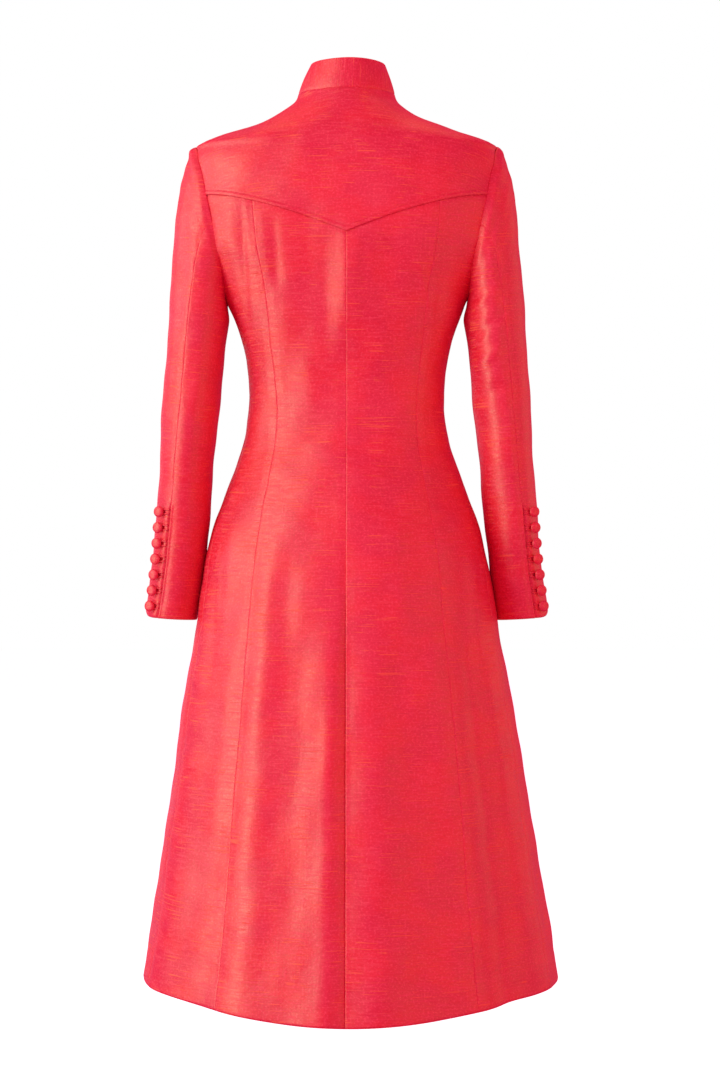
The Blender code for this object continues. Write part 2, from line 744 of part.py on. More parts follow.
def button_mesh():
    """A covered button turned about its axis: a shank under a domed cap."""
    radii = np.array([row[0] for row in BUTTON_PROFILE])
    rises = np.array([row[1] for row in BUTTON_PROFILE])
    turns = np.arange(BUTTON_SIDES) * 2 * np.pi / BUTTON_SIDES
    rings = np.stack(
        np.broadcast_arrays(
            radii[:, None] * np.cos(turns), radii[:, None] * np.sin(turns), rises[:, None]
        ),
        axis=-1,
    )
    points = rings.reshape(-1, 3).tolist() + [(0, 0, rises[0]), (0, 0, BUTTON_CROWN)]
    foot = len(points) - 2
    crown = len(points) - 1
    last = (len(radii) - 1) * BUTTON_SIDES
    faces = []
    for step in range(BUTTON_SIDES):
        following = (step + 1) % BUTTON_SIDES
        faces.append((foot, following, step))
        faces.append((crown, last + step, last + following))
        for ring in range(0, last, BUTTON_SIDES):
            faces.append(
                (ring + step, ring + following, ring + BUTTON_SIDES + following, ring + BUTTON_SIDES + step)
            )
    mesh = bpy.data.meshes.new("button")
    mesh.from_pydata(points, [], faces)
    mesh.shade_smooth()
    mesh.set_sharp_from_angle(angle=np.radians(BUTTON_CORNER_DEG))
    return mesh


def loop_route(height):
    """A loop's route on the cuff: from the hindarm seam, round the shank and back.

    Round is the distance from the button towards the seam, and rise is up the sleeve.
    """
    turn = np.radians(BUTTON_DEG)
    edge = hindarm_turn(height)
    ends = sleeve_point(np.array([turn, edge]), along_for(np.array([turn, edge]), height))
    reach = np.linalg.norm(ends[1] - ends[0]) - LOOP_SEAM_CLEAR
    bend = np.linspace(QUARTER_TURN, 3 * QUARTER_TURN, LOOP_TURN_STEPS + 1)
    bend_round = LOOP_HALF_SPREAD * np.cos(bend)
    bend_rise = LOOP_HALF_SPREAD * np.sin(bend)
    distance = np.concatenate([[reach, reach / 2], bend_round, [reach / 2, reach]])
    spread = LOOP_HALF_SPREAD * LOOP_FOOT_SHARE
    rise = np.concatenate([[spread, LOOP_HALF_SPREAD], bend_rise, [-LOOP_HALF_SPREAD, -spread]])
    turns = turn + (edge - turn) * distance / (reach + LOOP_SEAM_CLEAR)
    points, _ = cuff_place(turns, height + rise, LOOP_RISE)
    return points


def make_loop(name, height, side):
    """A thin rouleau loop: a round cord along its route with closed ends."""
    points = mirrored(loop_route(height), side)
    curve = bpy.data.curves.new(name, "CURVE")
    curve.dimensions = "3D"
    curve.bevel_depth = LOOP_RADIUS
    curve.bevel_resolution = LOOP_BEVEL
    curve.use_fill_caps = True
    spline = curve.splines.new("POLY")
    spline.points.add(len(points) - 1)
    for target, point in zip(spline.points, points):
        target.co = (*point, 1.0)
    add_object(name, curve)


def make_cuff_fastening(word, side):
    """The row of buttons on one cuff, each with its loop."""
    for number in range(1, BUTTON_COUNT + 1):
        height = BUTTON_TOP - BUTTON_PITCH * (number - 1)
        button = add_object(f"button_{word}_{number}", button_mesh())
        button.matrix_world = button_frame(height, side)
        make_loop(f"loop_{word}_{number}", height, side)


def main():
    for thing in list(bpy.data.objects):
        bpy.data.objects.remove(thing)
    make_collar()
    make_yoke()
    for word, side in (("left", -1), ("right", 1)):
        make_centre_back(f"centre_back_{word}", side)
        make_side_back(f"side_back_{word}", side)
        make_front(f"front_{word}", side, word == "right")
        make_sleeve_piece(
            f"top_sleeve_{word}", side, TOP_SLEEVE_COLUMNS, forearm_before, hindarm_along
        )
        make_sleeve_piece(
            f"under_sleeve_{word}", side, UNDER_SLEEVE_COLUMNS, hindarm_along, forearm_along
        )
        make_cuff_fastening(word, side)


main()
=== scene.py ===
"""Looks of a fitted, flared silk coat that stands empty in the form of a wearer.

+Z is up, +Y is the wearer's front and +X the wearer's right, in metres. Every cloth piece lies on
the form of its solid with a finer grid, and carries its seams, creases, rolled edges and slubs.
"""

import bpy
import numpy as np
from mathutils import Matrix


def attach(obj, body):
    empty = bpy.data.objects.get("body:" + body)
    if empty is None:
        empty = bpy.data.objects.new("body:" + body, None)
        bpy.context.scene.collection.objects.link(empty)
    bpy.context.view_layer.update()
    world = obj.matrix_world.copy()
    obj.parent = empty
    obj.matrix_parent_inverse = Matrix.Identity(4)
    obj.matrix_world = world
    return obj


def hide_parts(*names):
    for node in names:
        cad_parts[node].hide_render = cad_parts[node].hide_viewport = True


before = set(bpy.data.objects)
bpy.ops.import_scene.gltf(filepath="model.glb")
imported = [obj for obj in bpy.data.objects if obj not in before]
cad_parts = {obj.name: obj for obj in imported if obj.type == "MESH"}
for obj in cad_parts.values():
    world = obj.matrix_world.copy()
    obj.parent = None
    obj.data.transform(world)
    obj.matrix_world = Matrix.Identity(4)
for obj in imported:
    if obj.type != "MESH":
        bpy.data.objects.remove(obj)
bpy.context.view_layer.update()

# Cloth and seams
WALL = 0.0016
COLLAR_WALL = 0.0024
SEAM_OVERLAP = 0.00045
ARMHOLE_GAP = -0.0006
ARMHOLE_ALLOWANCE = 0.0050
ARMHOLE_EASE = 0.0022
NECK_TUCK = 0.0040
NECK_EASE = 0.0026

# Levels of the body
SHOULDER_TIP = -0.0673
UNDERARM = -0.265
SIDE_HEM = -1.1609
HEM_DIP_BACK = 0.0198
HEM_DIP_POWER = 3.0
HEM_TILT = 0.0020
HEM_LEVEL = 0.21
FRONT_NECK_DROP = 0.045

BODY_SECTIONS = (
    # height, half_width, back_depth, front_depth, corner
    (0.0100, 0.0602, 0.054, 0.057, 0.000),
    (0.0000, 0.0637, 0.058, 0.060, 0.000),
    (-0.0052, 0.0652, 0.061, 0.062, 0.000),
    (-0.0118, 0.0692, 0.065, 0.065, 0.000),
    (-0.0184, 0.0772, 0.069, 0.068, 0.000),
    (-0.0250, 0.0876, 0.072, 0.070, 0.000),
    (-0.0382, 0.1150, 0.078, 0.075, 0.005),
    (-0.0514, 0.1525, 0.084, 0.080, 0.012),
    (-0.0580, 0.1740, 0.087, 0.083, 0.018),
    (-0.0673, 0.1975, 0.090, 0.085, 0.025),
    (-0.0760, 0.1998, 0.092, 0.088, 0.030),
    (-0.0878, 0.2034, 0.095, 0.092, 0.037),
    (-0.1080, 0.2050, 0.099, 0.097, 0.045),
    (-0.1470, 0.2060, 0.103, 0.109, 0.050),
    (-0.1930, 0.1950, 0.102, 0.122, 0.050),
    (-0.2430, 0.1700, 0.096, 0.131, 0.050),
    (-0.2650, 0.1600, 0.093, 0.132, 0.050),
    (-0.2903, 0.1498, 0.090, 0.130, 0.050),
    (-0.3310, 0.1365, 0.082, 0.116, 0.045),
    (-0.3640, 0.1307, 0.077, 0.105, 0.040),
    (-0.3970, 0.1284, 0.075, 0.099, 0.022),
    (-0.4370, 0.1315, 0.079, 0.100, 0.000),
    (-0.4660, 0.1380, 0.086, 0.104, -0.022),
    (-0.4960, 0.1490, 0.096, 0.109, -0.030),
    (-0.5300, 0.1610, 0.106, 0.115, -0.026),
    (-0.5860, 0.1800, 0.121, 0.124, -0.012),
    (-0.6120, 0.1862, 0.126, 0.127, -0.010),
    (-0.6380, 0.1906, 0.131, 0.130, -0.010),
    (-0.6652, 0.1946, 0.137, 0.134, -0.010),
    (-0.6916, 0.1980, 0.142, 0.137, -0.010),
    (-0.7642, 0.2105, 0.156, 0.147, -0.012),
    (-0.8632, 0.2264, 0.176, 0.164, -0.016),
    (-0.9622, 0.2409, 0.195, 0.181, -0.020),
    (-1.0612, 0.2574, 0.214, 0.199, -0.024),
    (-1.1650, 0.2730, 0.235, 0.217, -0.028),
    (-1.2000, 0.2785, 0.242, 0.223, -0.030),
)

# Soft folds of the skirt, by angle from the centre back towards +X
SKIRT_FOLDS = (
    # angle_deg, width_deg, depth, begins
    (-62.0, 9.0, 0.0050, -0.62),
    (-43.0, 7.0, -0.0025, -0.66),
    (-28.0, 8.0, 0.0030, -0.56),
    (9.0, 7.0, 0.0020, -0.58),
    (27.0, 8.0, -0.0030, -0.60),
    (41.0, 7.0, 0.0035, -0.56),
    (53.0, 6.0, -0.0025, -0.66),
    (67.0, 8.0, 0.0050, -0.62),
    (90.0, 22.0, 0.0065, -0.60),
    (-90.0, 22.0, -0.0045, -0.60),
    (112.0, 8.0, 0.008, -0.64),
    (131.0, 7.0, -0.006, -0.60),
    (150.0, 8.0, 0.009, -0.58),
    (-108.0, 7.0, 0.008, -0.66),
    (-126.0, 8.0, -0.007, -0.60),
    (-147.0, 8.0, 0.009, -0.57),
)
# Sharper drapes among them: each grows from where it begins to where it is full, then fades to a
# share of its depth at the hem
SKIRT_DRAPES = (
    # angle_deg, width_deg, depth, begins, full, hem_share
    (-16.8, 5.0, -0.0052, -0.640, -0.830, 0.60),
    (-22.5, 3.6, -0.0026, -0.560, -0.760, 0.70),
    (-5.2, 3.4, 0.0046, -0.660, -0.860, 0.90),
    (-31.0, 5.0, 0.0046, -0.540, -0.700, 0.45),
    (-44.5, 5.0, 0.0030, -0.640, -0.800, 0.50),
    (19.0, 6.0, -0.0026, -0.620, -0.800, 0.70),
    (33.0, 3.6, 0.0016, -0.600, -0.760, 0.60),
    (40.0, 4.5, 0.0024, -0.660, -0.840, 0.80),
    (51.0, 4.5, -0.0034, -0.640, -0.820, 0.70),
    (60.0, 4.0, 0.0022, -0.660, -0.860, 0.80),
    (122.0, 6.0, -0.0040, -0.620, -0.820, 0.70),
    (143.0, 5.0, 0.0030, -0.600, -0.780, 0.60),
    (162.0, 6.0, -0.0036, -0.640, -0.860, 0.80),
    (-116.0, 5.0, -0.0036, -0.640, -0.820, 0.70),
    (-138.0, 6.0, 0.0034, -0.600, -0.800, 0.60),
    (-158.0, 6.0, -0.0040, -0.620, -0.840, 0.80),
)
SEAM_VALLEY_DEPTH = 0.0056
SEAM_VALLEY_BEGINS = -0.54
SEAM_VALLEY_FULL = -0.80
SEAM_VALLEY_HEM_SHARE = 0.75
SEAM_VALLEY_LEFT_DEG = 4.2
SEAM_VALLEY_RIGHT_DEG = 4.4
# The left back panel sinks to the seam, where the right one stands a little proud
SEAM_STEP = 0.0024
SEAM_STEP_WIDTH = 0.0050
SEAM_STEP_BEGINS = -0.52
SEAM_STEP_EASE = 0.22

BACK_SEAM = (
    # height, from_centre
    (-0.100, 0.1240),
    (-0.150, 0.1210),
    (-0.206, 0.1150),
    (-0.2525, 0.1065),
    (-0.329, 0.0985),
    (-0.369, 0.0940),
    (-0.417, 0.0905),
    (-0.456, 0.0920),
    (-0.509, 0.1005),
    (-0.547, 0.1080),
    (-0.590, 0.1145),
    (-0.639, 0.1200),
    (-0.688, 0.1235),
    (-0.762, 0.1290),
    (-0.900, 0.1400),
    (-1.033, 0.1495),
    (-1.200, 0.1650),
)
SIDE_SEAM = (
    # height, angle_deg
    (-0.200, 90.0),
    (-0.265, 90.0),
    (-0.330, 88.0),
    (-0.440, 83.0),
    (-0.560, 77.0),
    (-0.700, 73.0),
    (-0.900, 71.0),
    (-1.200, 70.0),
)

# The yoke's pointed lower edge, and how much its weft droops where the cloth comes forward
YOKE_SIDE_HEIGHT = -0.139
YOKE_SIDE_WIDTH = 0.1817
YOKE_POINT_DROP = 0.0526
YOKE_CURVE = 1.4
YOKE_DROOP = 0.40
YOKE_PUCKER = 0.8
YOKE_PHASE = 0.8

# The yoke's lip and its line of stitches, with the puff's place and width as shares of the lip
LIP_LIFT = 0.0007
LIP_WIDTH = 0.0064
LIP_PUFF = 0.0007
LIP_PUFF_AT = 0.45
LIP_PUFF_WIDTH = 0.40
LIP_GRID = 1.5
LIP_CROWDING = 1.7
STITCH_GROOVE = 0.0005
STITCH_GROOVE_WIDTH = 0.0012
STITCH_PITCH = 0.0026
STITCH_LENGTH = 0.0019
STITCH_RADIUS = 0.00026
STITCH_RINGS = 7
STITCH_SIDES = 6
STITCH_END = 0.02
STITCH_BOW = 1.1
STITCH_BOW_DROP = 1.5

# Hidden edges: panel tops tucked under the yoke, and edges sunk inside the collar and the sleeves
TUCK_HEIGHT = 0.0040
TUCK_DEPTH = 0.0012
TUCK_EASE = 0.0060
SINK_DEPTH = 0.0024

# The armhole: how far its edge runs round from the side, and how much lower it is fullest
ARMHOLE_BACK_DEG = 34.0
ARMHOLE_BACK_EGG = 0.05
ARMHOLE_FRONT_DEG = 30.0
ARMHOLE_FRONT_EGG = 0.20

# The front lap, right over left
LAP_PAST_CENTRE = 0.012
LAP_LIFT = 0.0026
LAP_LEVEL = 0.020
LAP_EASE = 0.045

# The stand collar
COLLAR_HEIGHT_BACK = 0.041
COLLAR_HEIGHT_FRONT = 0.038
COLLAR_LEAN = 0.0020
COLLAR_TOP_HALF_WIDTH = 0.0498
COLLAR_TOP_BACK = 0.0500
COLLAR_TOP_FRONT = 0.0580
COLLAR_END_GAP = 0.0010
COLLAR_END_ROUND = 0.012
COLLAR_SWELL = 0.0009
COLLAR_FOOT_DIP = 0.0013
COLLAR_FOOT_WIDTH = 0.0018
COLLAR_PHASE = 3.3

SLEEVE_SECTIONS = (
    # height, outer_x, inner_x, half_depth, middle_y
    (-0.3000, 0.2348, 0.1552, 0.0600, -0.004),
    (-0.3484, 0.2381, 0.1612, 0.0585, -0.007),
    (-0.4012, 0.2412, 0.1666, 0.0570, -0.009),
    (-0.4540, 0.2446, 0.1712, 0.0550, -0.008),
    (-0.5068, 0.2480, 0.1764, 0.0530, -0.004),
    (-0.5596, 0.2518, 0.1812, 0.0508, 0.002),
    (-0.6124, 0.2568, 0.1866, 0.0485, 0.009),
    (-0.6520, 0.2616, 0.1924, 0.0468, 0.014),
    (-0.6950, 0.2680, 0.1985, 0.0455, 0.019),
)
# The line down a sleeve that its weft is square to
SLEEVE_AXIS = (0.038, 0.023, -0.395)
CUFF_MIDDLE = -0.6895
CUFF_SLANT = 0.0025
CUFF_CORNER_LIFT = 0.0060
CUFF_CORNER_DEG = 24.0
# Pulls with which the sleeve cap leaves the armhole: at its top, its sides and the underarm
CAP_TOP = (0.081, 0.000, -0.030)
CAP_SIDE = (0.042, 0.012, -0.040)
CAP_UNDER = (0.007, 0.000, -0.030)

# Sleeve seams: angles round the sleeve from its outermost line towards the back
HINDARM_TOP_DEG = 81.0
HINDARM_CUFF_DEG = 66.0
HINDARM_CAP_DEG = 17.0
HINDARM_TOP_HEIGHT = -0.150
HINDARM_CUFF_HEIGHT = -0.620
FOREARM_DEG = 235.0

# The buttoned opening of the cuff
OPENING_TOP = -0.538
OPENING_EASE = 0.006
OPENING_ROLL = 0.0011
OPENING_ROLL_WIDTH = 0.0018
OPENING_SINK = 0.0024
OPENING_SINK_WIDTH = 0.0055
PUFF_RISE = 0.0013
PUFF_AT = 0.0085
PUFF_WIDTH = 0.0048
PUFF_HEIGHT = 0.0042

# Cuff buttons and their loops, with the pull straight back that tips a button
BUTTON_COUNT = 7
BUTTON_TOP = -0.549
BUTTON_PITCH = 0.0206
BUTTON_DEG = 43.0
BUTTON_TIP = 1.0
BUTTON_SIDES = 40
BUTTON_RINGS = 26
BUTTON_GATHERS = 22
BUTTON_GATHER_DEPTH = 0.00016
BUTTON_RIM_AT = 0.38
BUTTON_RIM_WIDTH = 0.12
BUTTON_CROWN_RADIUS = 0.00002
BUTTON_CLOTH_SHIFT = (0.11, 0.17)
BUTTON_PROFILE = (
    # share along the profile, radius, height above the cloth
    (0.00, 0.0019, 0.0003),
    (0.12, 0.0020, 0.0026),
    (0.24, 0.0048, 0.0044),
    (0.36, 0.0067, 0.0051),
    (0.46, 0.0073, 0.0064),
    (0.58, 0.0070, 0.0080),
    (0.72, 0.0056, 0.0094),
    (0.86, 0.0031, 0.0102),
    (1.00, 0.0000, 0.0105),
)
LOOP_RADIUS = 0.0010
LOOP_RISE = 0.0014
LOOP_HALF_SPREAD = 0.0032
LOOP_SEAM_CLEAR = 0.0010
LOOP_SIDES = 12
LOOP_STEPS = 60
LOOP_NARROWING = 0.22
LOOP_CLOTH_SHIFT = 0.13

# Seam relief
SEAM_DIP = 0.0004
SEAM_DIP_WIDTH = 0.0011
SEAM_RIDGE = 0.00025
SEAM_RIDGE_AT = 0.011
SEAM_RIDGE_WIDTH = 0.005
PUCKER_DEPTH = 0.00016
PUCKER_REACH = 0.012
PUCKER_CLEAR = 0.003
PUCKER_WAVES = (
    # length, share of the phase
    (0.0062, 1.0),
    (0.0039, 2.3),
    (0.0107, 4.1),
)
HINDARM_PUCKER = 1.6
HEM_TURN_UP = 0.038
HEM_THICKNESS = 0.0005
HEM_EASE = 0.006
EDGE_ROUND = 0.46

# Slight unevenness of the silk
WOBBLE_DEPTH = 0.00045
WOBBLE_WAVES = (
    # along_x, along_y, along_z, phase, share
    (61, 0, 23, 0.7, 1.0),
    (0, -38, 47, 1.9, 1.0),
    (93, -31, -41, 0.4, 1.0),
    (57, 0, 118, 2.6, 0.6),
)

# The weave: where it begins to lean with a skirt panel, and how far each piece's places are moved on
LEAN_BEGINS = -0.45
LEAN_EASE = 0.20
WEAVE_SHIFT = (0.731, 1.377)

# The sleeve head: a roll beside the armhole and soft bands that fade down the sleeve
HEAD_ROLL = 0.0022
HEAD_ROLL_AT = 0.0100
HEAD_ROLL_WIDTH = 0.0070
HEAD_BAND_DEPTH = 0.0007
HEAD_BAND_PITCH = 0.023
HEAD_BAND_REACH = 0.045
HEAD_BAND_SLANT = 2.0
HEAD_SPREAD = 0.7
HEAD_MIDDLE = 0.5

# How a crease fades at its ends, and how sharply the back's creases give way to the front's
CREASE_FADE = 0.35
CREASE_END = 0.25
FACING_STEEPNESS = 1.6
# Creases of the back, in the plane of X and Z, with troughs negative
BACK_CREASES = (
    # start_x, start_z, end_x, end_z, width, depth
    (-0.0480, -0.150, -0.0450, -0.280, 0.0140, -0.0028),
    (-0.0285, -0.165, -0.0260, -0.350, 0.0110, -0.0026),
    (-0.0560, -0.165, -0.0520, -0.350, 0.0220, -0.0026),
    (-0.1740, -0.175, -0.1500, -0.300, 0.0220, 0.0034),
    (-0.0950, -0.165, -0.0890, -0.262, 0.0075, -0.0026),
    (-0.1350, -0.149, -0.1275, -0.320, 0.0040, -0.0013),
    (0.0220, -0.195, 0.0230, -0.260, 0.0060, -0.0008),
    (-0.0560, -0.340, -0.0420, -0.420, 0.0120, 0.0012),
    (-0.1646, -0.580, -0.1712, -0.645, 0.0022, 0.0008),
    (-0.1624, -0.605, -0.1680, -0.710, 0.0030, 0.0013),
    (-0.1520, -0.150, -0.1400, -0.262, 0.0070, 0.0010),
    (0.1170, -0.178, 0.1090, -0.236, 0.0045, 0.0011),
    (0.0880, -0.215, 0.1130, -0.300, 0.0050, 0.0010),
    (0.1270, -0.215, 0.1150, -0.320, 0.0070, -0.0010),
    (0.0500, -0.200, 0.0560, -0.330, 0.0180, -0.0012),
    (0.0100, -0.452, 0.0720, -0.437, 0.0050, -0.0006),
    (-0.0800, -0.470, -0.0250, -0.452, 0.0060, -0.0006),
    (-0.0650, -0.020, -0.0800, -0.110, 0.0180, -0.0012),
    (-0.0320, -0.060, -0.0300, -0.170, 0.0160, -0.0010),
    (0.0280, -0.040, 0.0300, -0.140, 0.0200, 0.0007),
    (0.1180, -0.070, 0.1050, -0.130, 0.0120, 0.0006),
    (-0.1560, -0.620, -0.1820, -0.790, 0.0080, -0.0018),
    (-0.1450, -0.560, -0.1640, -0.720, 0.0080, 0.0016),
    (0.1480, -0.590, 0.1600, -0.780, 0.0070, -0.0014),
    (0.1620, -0.600, 0.1720, -0.760, 0.0060, 0.0012),
    (0.0640, -0.560, 0.0720, -0.700, 0.0120, 0.0010),
    (-0.1960, -0.215, -0.2100, -0.330, 0.0070, 0.0012),
    (-0.2100, -0.170, -0.2200, -0.330, 0.0080, -0.0014),
    (-0.1950, -0.330, -0.2080, -0.420, 0.0060, -0.0007),
    (0.1660, -0.288, 0.2000, -0.258, 0.0055, 0.0022),
    (0.1690, -0.325, 0.2040, -0.291, 0.0060, -0.0024),
    (0.1720, -0.367, 0.2020, -0.332, 0.0060, 0.0024),
    (0.1750, -0.405, 0.2050, -0.380, 0.0070, -0.0018),
    (0.1770, -0.190, 0.1890, -0.430, 0.0160, 0.0070),
    (0.2020, -0.235, 0.1830, -0.212, 0.0060, -0.0010),
    (0.1900, -0.400, 0.2120, -0.382, 0.0060, -0.0008),
    (0.2060, -0.250, 0.2130, -0.370, 0.0060, 0.0009),
)
# The raised centre-back seam below the yoke: steep on its left, slow on its right
BACK_RIDGE = 0.0040
BACK_RIDGE_TOP = -0.150
BACK_RIDGE_END = -0.360
BACK_RIDGE_LEFT = 0.0100
BACK_RIDGE_RIGHT = 0.0450
BACK_RIDGE_RISE = 4.0
BACK_RIDGE_FADE = 2.2
# Creases of the front, in the same plane, with the two sewn waist darts last
FRONT_CREASES = (
    # start_x, start_z, end_x, end_z, width, depth
    (-0.1550, -0.150, -0.1150, -0.215, 0.0080, -0.0016),
    (-0.1420, -0.190, -0.1050, -0.245, 0.0070, 0.0010),
    (0.1500, -0.160, 0.1080, -0.225, 0.0080, -0.0015),
    (0.1400, -0.205, 0.1000, -0.262, 0.0060, 0.0009),
    (-0.0350, -0.300, -0.0200, -0.420, 0.0120, -0.0012),
    (0.0420, -0.320, 0.0300, -0.430, 0.0110, -0.0011),
    (-0.1100, -0.440, -0.0500, -0.425, 0.0060, -0.0008),
    (0.1050, -0.452, 0.0550, -0.430, 0.0060, -0.0007),
    (-0.1500, -0.600, -0.1650, -0.780, 0.0080, 0.0014),
    (0.1460, -0.580, 0.1640, -0.760, 0.0090, -0.0014),
    (-0.0900, -0.620, -0.1000, -0.800, 0.0120, -0.0012),
    (0.0860, -0.640, 0.0950, -0.830, 0.0120, 0.0012),
    (0.2000, -0.260, 0.2130, -0.380, 0.0070, -0.0010),
    (-0.1980, -0.280, -0.2140, -0.400, 0.0070, 0.0010),
    (0.1780, -0.340, 0.2080, -0.310, 0.0060, 0.0010),
    (-0.1800, -0.390, -0.2100, -0.352, 0.0060, -0.0010),
    (-0.0780, -0.290, -0.0740, -0.540, 0.0016, -0.0012),
    (0.0780, -0.290, 0.0740, -0.540, 0.0016, -0.0012),
)

# Grid sizes, and how the rows and columns crowd
YOKE_COLUMNS = 150
CENTRE_BACK_COLUMNS = 56
SIDE_BACK_COLUMNS = 46
FRONT_COLUMNS = 88
SHOULDER_ROWS = 20
YOKE_ROWS = 46
LIP_ROWS = 14
ARMHOLE_ROWS = 46
UPPER_BACK_ROWS = 46
SKIRT_ROWS = 215
COLLAR_COLUMNS = 170
COLLAR_ROWS = 26
CAP_ROWS = 56
SLEEVE_ROWS = 124
TOP_SLEEVE_COLUMNS = 64
UNDER_SLEEVE_COLUMNS = 50
EDGE_CROWDING = 0.88
END_CROWDING = 0.475
END_POWER = 24
CAP_CROWDING = 1.5

# Finish of the silk, as linear colours
SILK_CRIMSON = (0.720, 0.0008, 0.0560, 1.0)
SILK_SCARLET = (0.790, 0.0020, 0.0360, 1.0)
SILK_SHADE = (0.540, 0.0008, 0.0260, 1.0)
SLUB_ORANGE = (0.930, 0.1200, 0.1800, 1.0)
SLUB_GOLD = (0.950, 0.1900, 0.0700, 1.0)
SLUB_DARK = (0.420, 0.0020, 0.0100, 1.0)
SHEEN_PINK = (1.0, 0.12, 0.38, 1.0)
GLOSS_WARM = (1.0, 0.92, 0.62, 1.0)
THREAD_RED = (0.620, 0.0100, 0.0250, 1.0)
THREAD_ROUGHNESS = 0.45
THREAD_MOTTLE = 900.0

# The silk's patterns: noise with this many waves for each metre across and down the cloth
SILK_PATTERNS = {
    # name: across, down, shift, detail
    "clouds": (16.0, 20.0, 3.1, 4.0),
    "weft": (42.0, 430.0, 9.2, 3.0),
    "rib": (90.0, 860.0, 4.4, 2.0),
    "warp": (480.0, 30.0, 5.5, 2.0),
    "grain": (330.0, 400.0, 6.1, 2.0),
    "mottle": (52.0, 84.0, 8.8, 3.0),
    "fine": (30.0, 620.0, 1.3, 2.0),
    "long_slub": (13.0, 520.0, 7.7, 2.0),
    "broken": (30.0, 24.0, 2.2, 2.0),
    "dark": (24.0, 600.0, 12.4, 2.0),
    "nub": (230.0, 420.0, 14.9, 2.0),
}
# How much farther a pattern is shifted down than across
SHIFT_DOWN = 1.7
# Where a pattern begins to show and where it is full
CLOUDS_SHOW = (0.35, 0.65)
FINE_SHOWS = (0.56, 0.70)
LONG_SLUB_SHOWS = (0.60, 0.69)
BROKEN_SHOWS = (0.46, 0.60)
WEFT_ROUGHENS = (0.30, 0.75)
# Colours laid over the ground in turn
SILK_THREADS = (
    # pattern, begins, full, share, colour
    ("weft", 0.48, 0.28, 0.14, SILK_SHADE),
    ("grain", 0.48, 0.28, 0.20, SILK_SHADE),
    ("weft", 0.55, 0.72, 0.28, SLUB_ORANGE),
    ("warp", 0.56, 0.76, 0.12, SLUB_ORANGE),
    ("grain", 0.53, 0.72, 0.52, SLUB_ORANGE),
    ("dark", 0.66, 0.80, 0.22, SLUB_DARK),
    ("fine", *FINE_SHOWS, 0.30, SLUB_ORANGE),
    ("long_slub", *LONG_SLUB_SHOWS, 0.75, SLUB_GOLD),
    ("nub", 0.75, 0.80, 0.30, SLUB_DARK),
)
# How much each pattern raises the cloth, then the strength and distance of both layers of relief
SILK_RELIEF = (("rib", 0.4), ("grain", 0.5), ("warp", 0.4))
WEFT_RELIEF = 0.8
LONG_SLUB_RELIEF = 0.8
CRUMPLE_BUMP = (1.0, 0.0006)
RIB_BUMP = (0.60, 0.0004)
# Roughness of the ground, and what the weft and the slubs add to it
SILK_ROUGHNESS = 0.45
WEFT_ROUGHNESS = 0.12
FINE_ROUGHNESS = 0.14
LONG_SLUB_ROUGHNESS = 0.20
SILK_SOCKETS = {
    "IOR": 2.15,
    "Specular Tint": GLOSS_WARM,
    "Sheen Weight": 0.06,
    "Sheen Roughness": 0.40,
    "Sheen Tint": SHEEN_PINK,
}

# Camera, floor and lights
CAMERA_PLACE = (0.0175, -3.0, -0.586)
CAMERA_LENS = 75.76
CAMERA_SENSOR = 36.0
FLOOR_HEIGHT = -1.42
FLOOR_HALF = 14.0
FLOOR_GLOW = 0.94
FLOOR_ROUGHNESS = 0.9
PAPER = (0.93, 0.93, 0.93, 1.0)
WHITE = (1.0, 1.0, 1.0, 1.0)
AMBIENT = 0.62
AMBIENT_COLOUR = (1.0, 0.10, 0.38, 1.0)
LIGHT_AIM = (0.0, -0.05, -0.55)
LIGHTS = (
    # name, place, width, height, watts, colour
    ("high_key", (-2.30, -1.40, 0.75), 1.0, 1.6, 25.0, (0.96, 1.0, 0.95)),
    ("low_key", (-2.30, -1.40, -0.95), 1.0, 0.8, 18.0, (0.96, 1.0, 0.95)),
    ("side", (-2.45, 0.55, 0.40), 1.0, 0.9, 9.0, (1.0, 0.90, 0.90)),
    ("fill", (2.30, -1.40, -0.45), 1.6, 2.4, 11.0, (1.0, 0.48, 0.28)),
    ("right_rim", (2.25, 1.20, -0.35), 1.0, 2.2, 6.0, (1.0, 0.62, 0.30)),
    ("top", (0.00, 0.70, 2.30), 1.8, 1.2, 12.0, (1.0, 0.56, 0.34)),
    ("front", (0.20, -3.60, 0.60), 2.0, 2.0, 27.0, (1.0, 0.15, 0.34)),
    ("rim", (-1.50, 2.40, -0.50), 0.8, 2.0, 5.0, (1.0, 0.85, 0.90)),
)

# Turns, the step of a slope, the steps of a search, and the two sides of the coat
HALF_TURN = np.pi
QUARTER_TURN = np.pi / 2
DIFFERENCE = 1e-4
SOLVING_STEPS = 12
SIDES = (("left", -1), ("right", 1))


def cubic(share, start, leave, end, arrive):
    """A cubic from start to end that leaves and arrives with the given pulls."""
    rest = 1 - share
    first = (1 + 2 * share) * rest**2 * start + share * rest**2 * leave
    return first + share**2 * (1 + 2 * rest) * end - share**2 * rest * arrive


def smooth_curve(rows, column):
    """A function of the first column: cubic pieces through another column, with no corners."""
    ordered = sorted(rows)
    heights = np.array([row[0] for row in ordered])
    values = np.array([row[column] for row in ordered])
    slopes = np.gradient(values, heights)

    def value_at(height):
        inside = np.clip(height, heights[0], heights[-1])
        index = np.clip(np.searchsorted(heights, inside, side="right") - 1, 0, len(heights) - 2)
        span = heights[index + 1] - heights[index]
        share = (inside - heights[index]) / span
        return cubic(share, values[index], span * slopes[index], values[index + 1], span * slopes[index + 1])

    return value_at


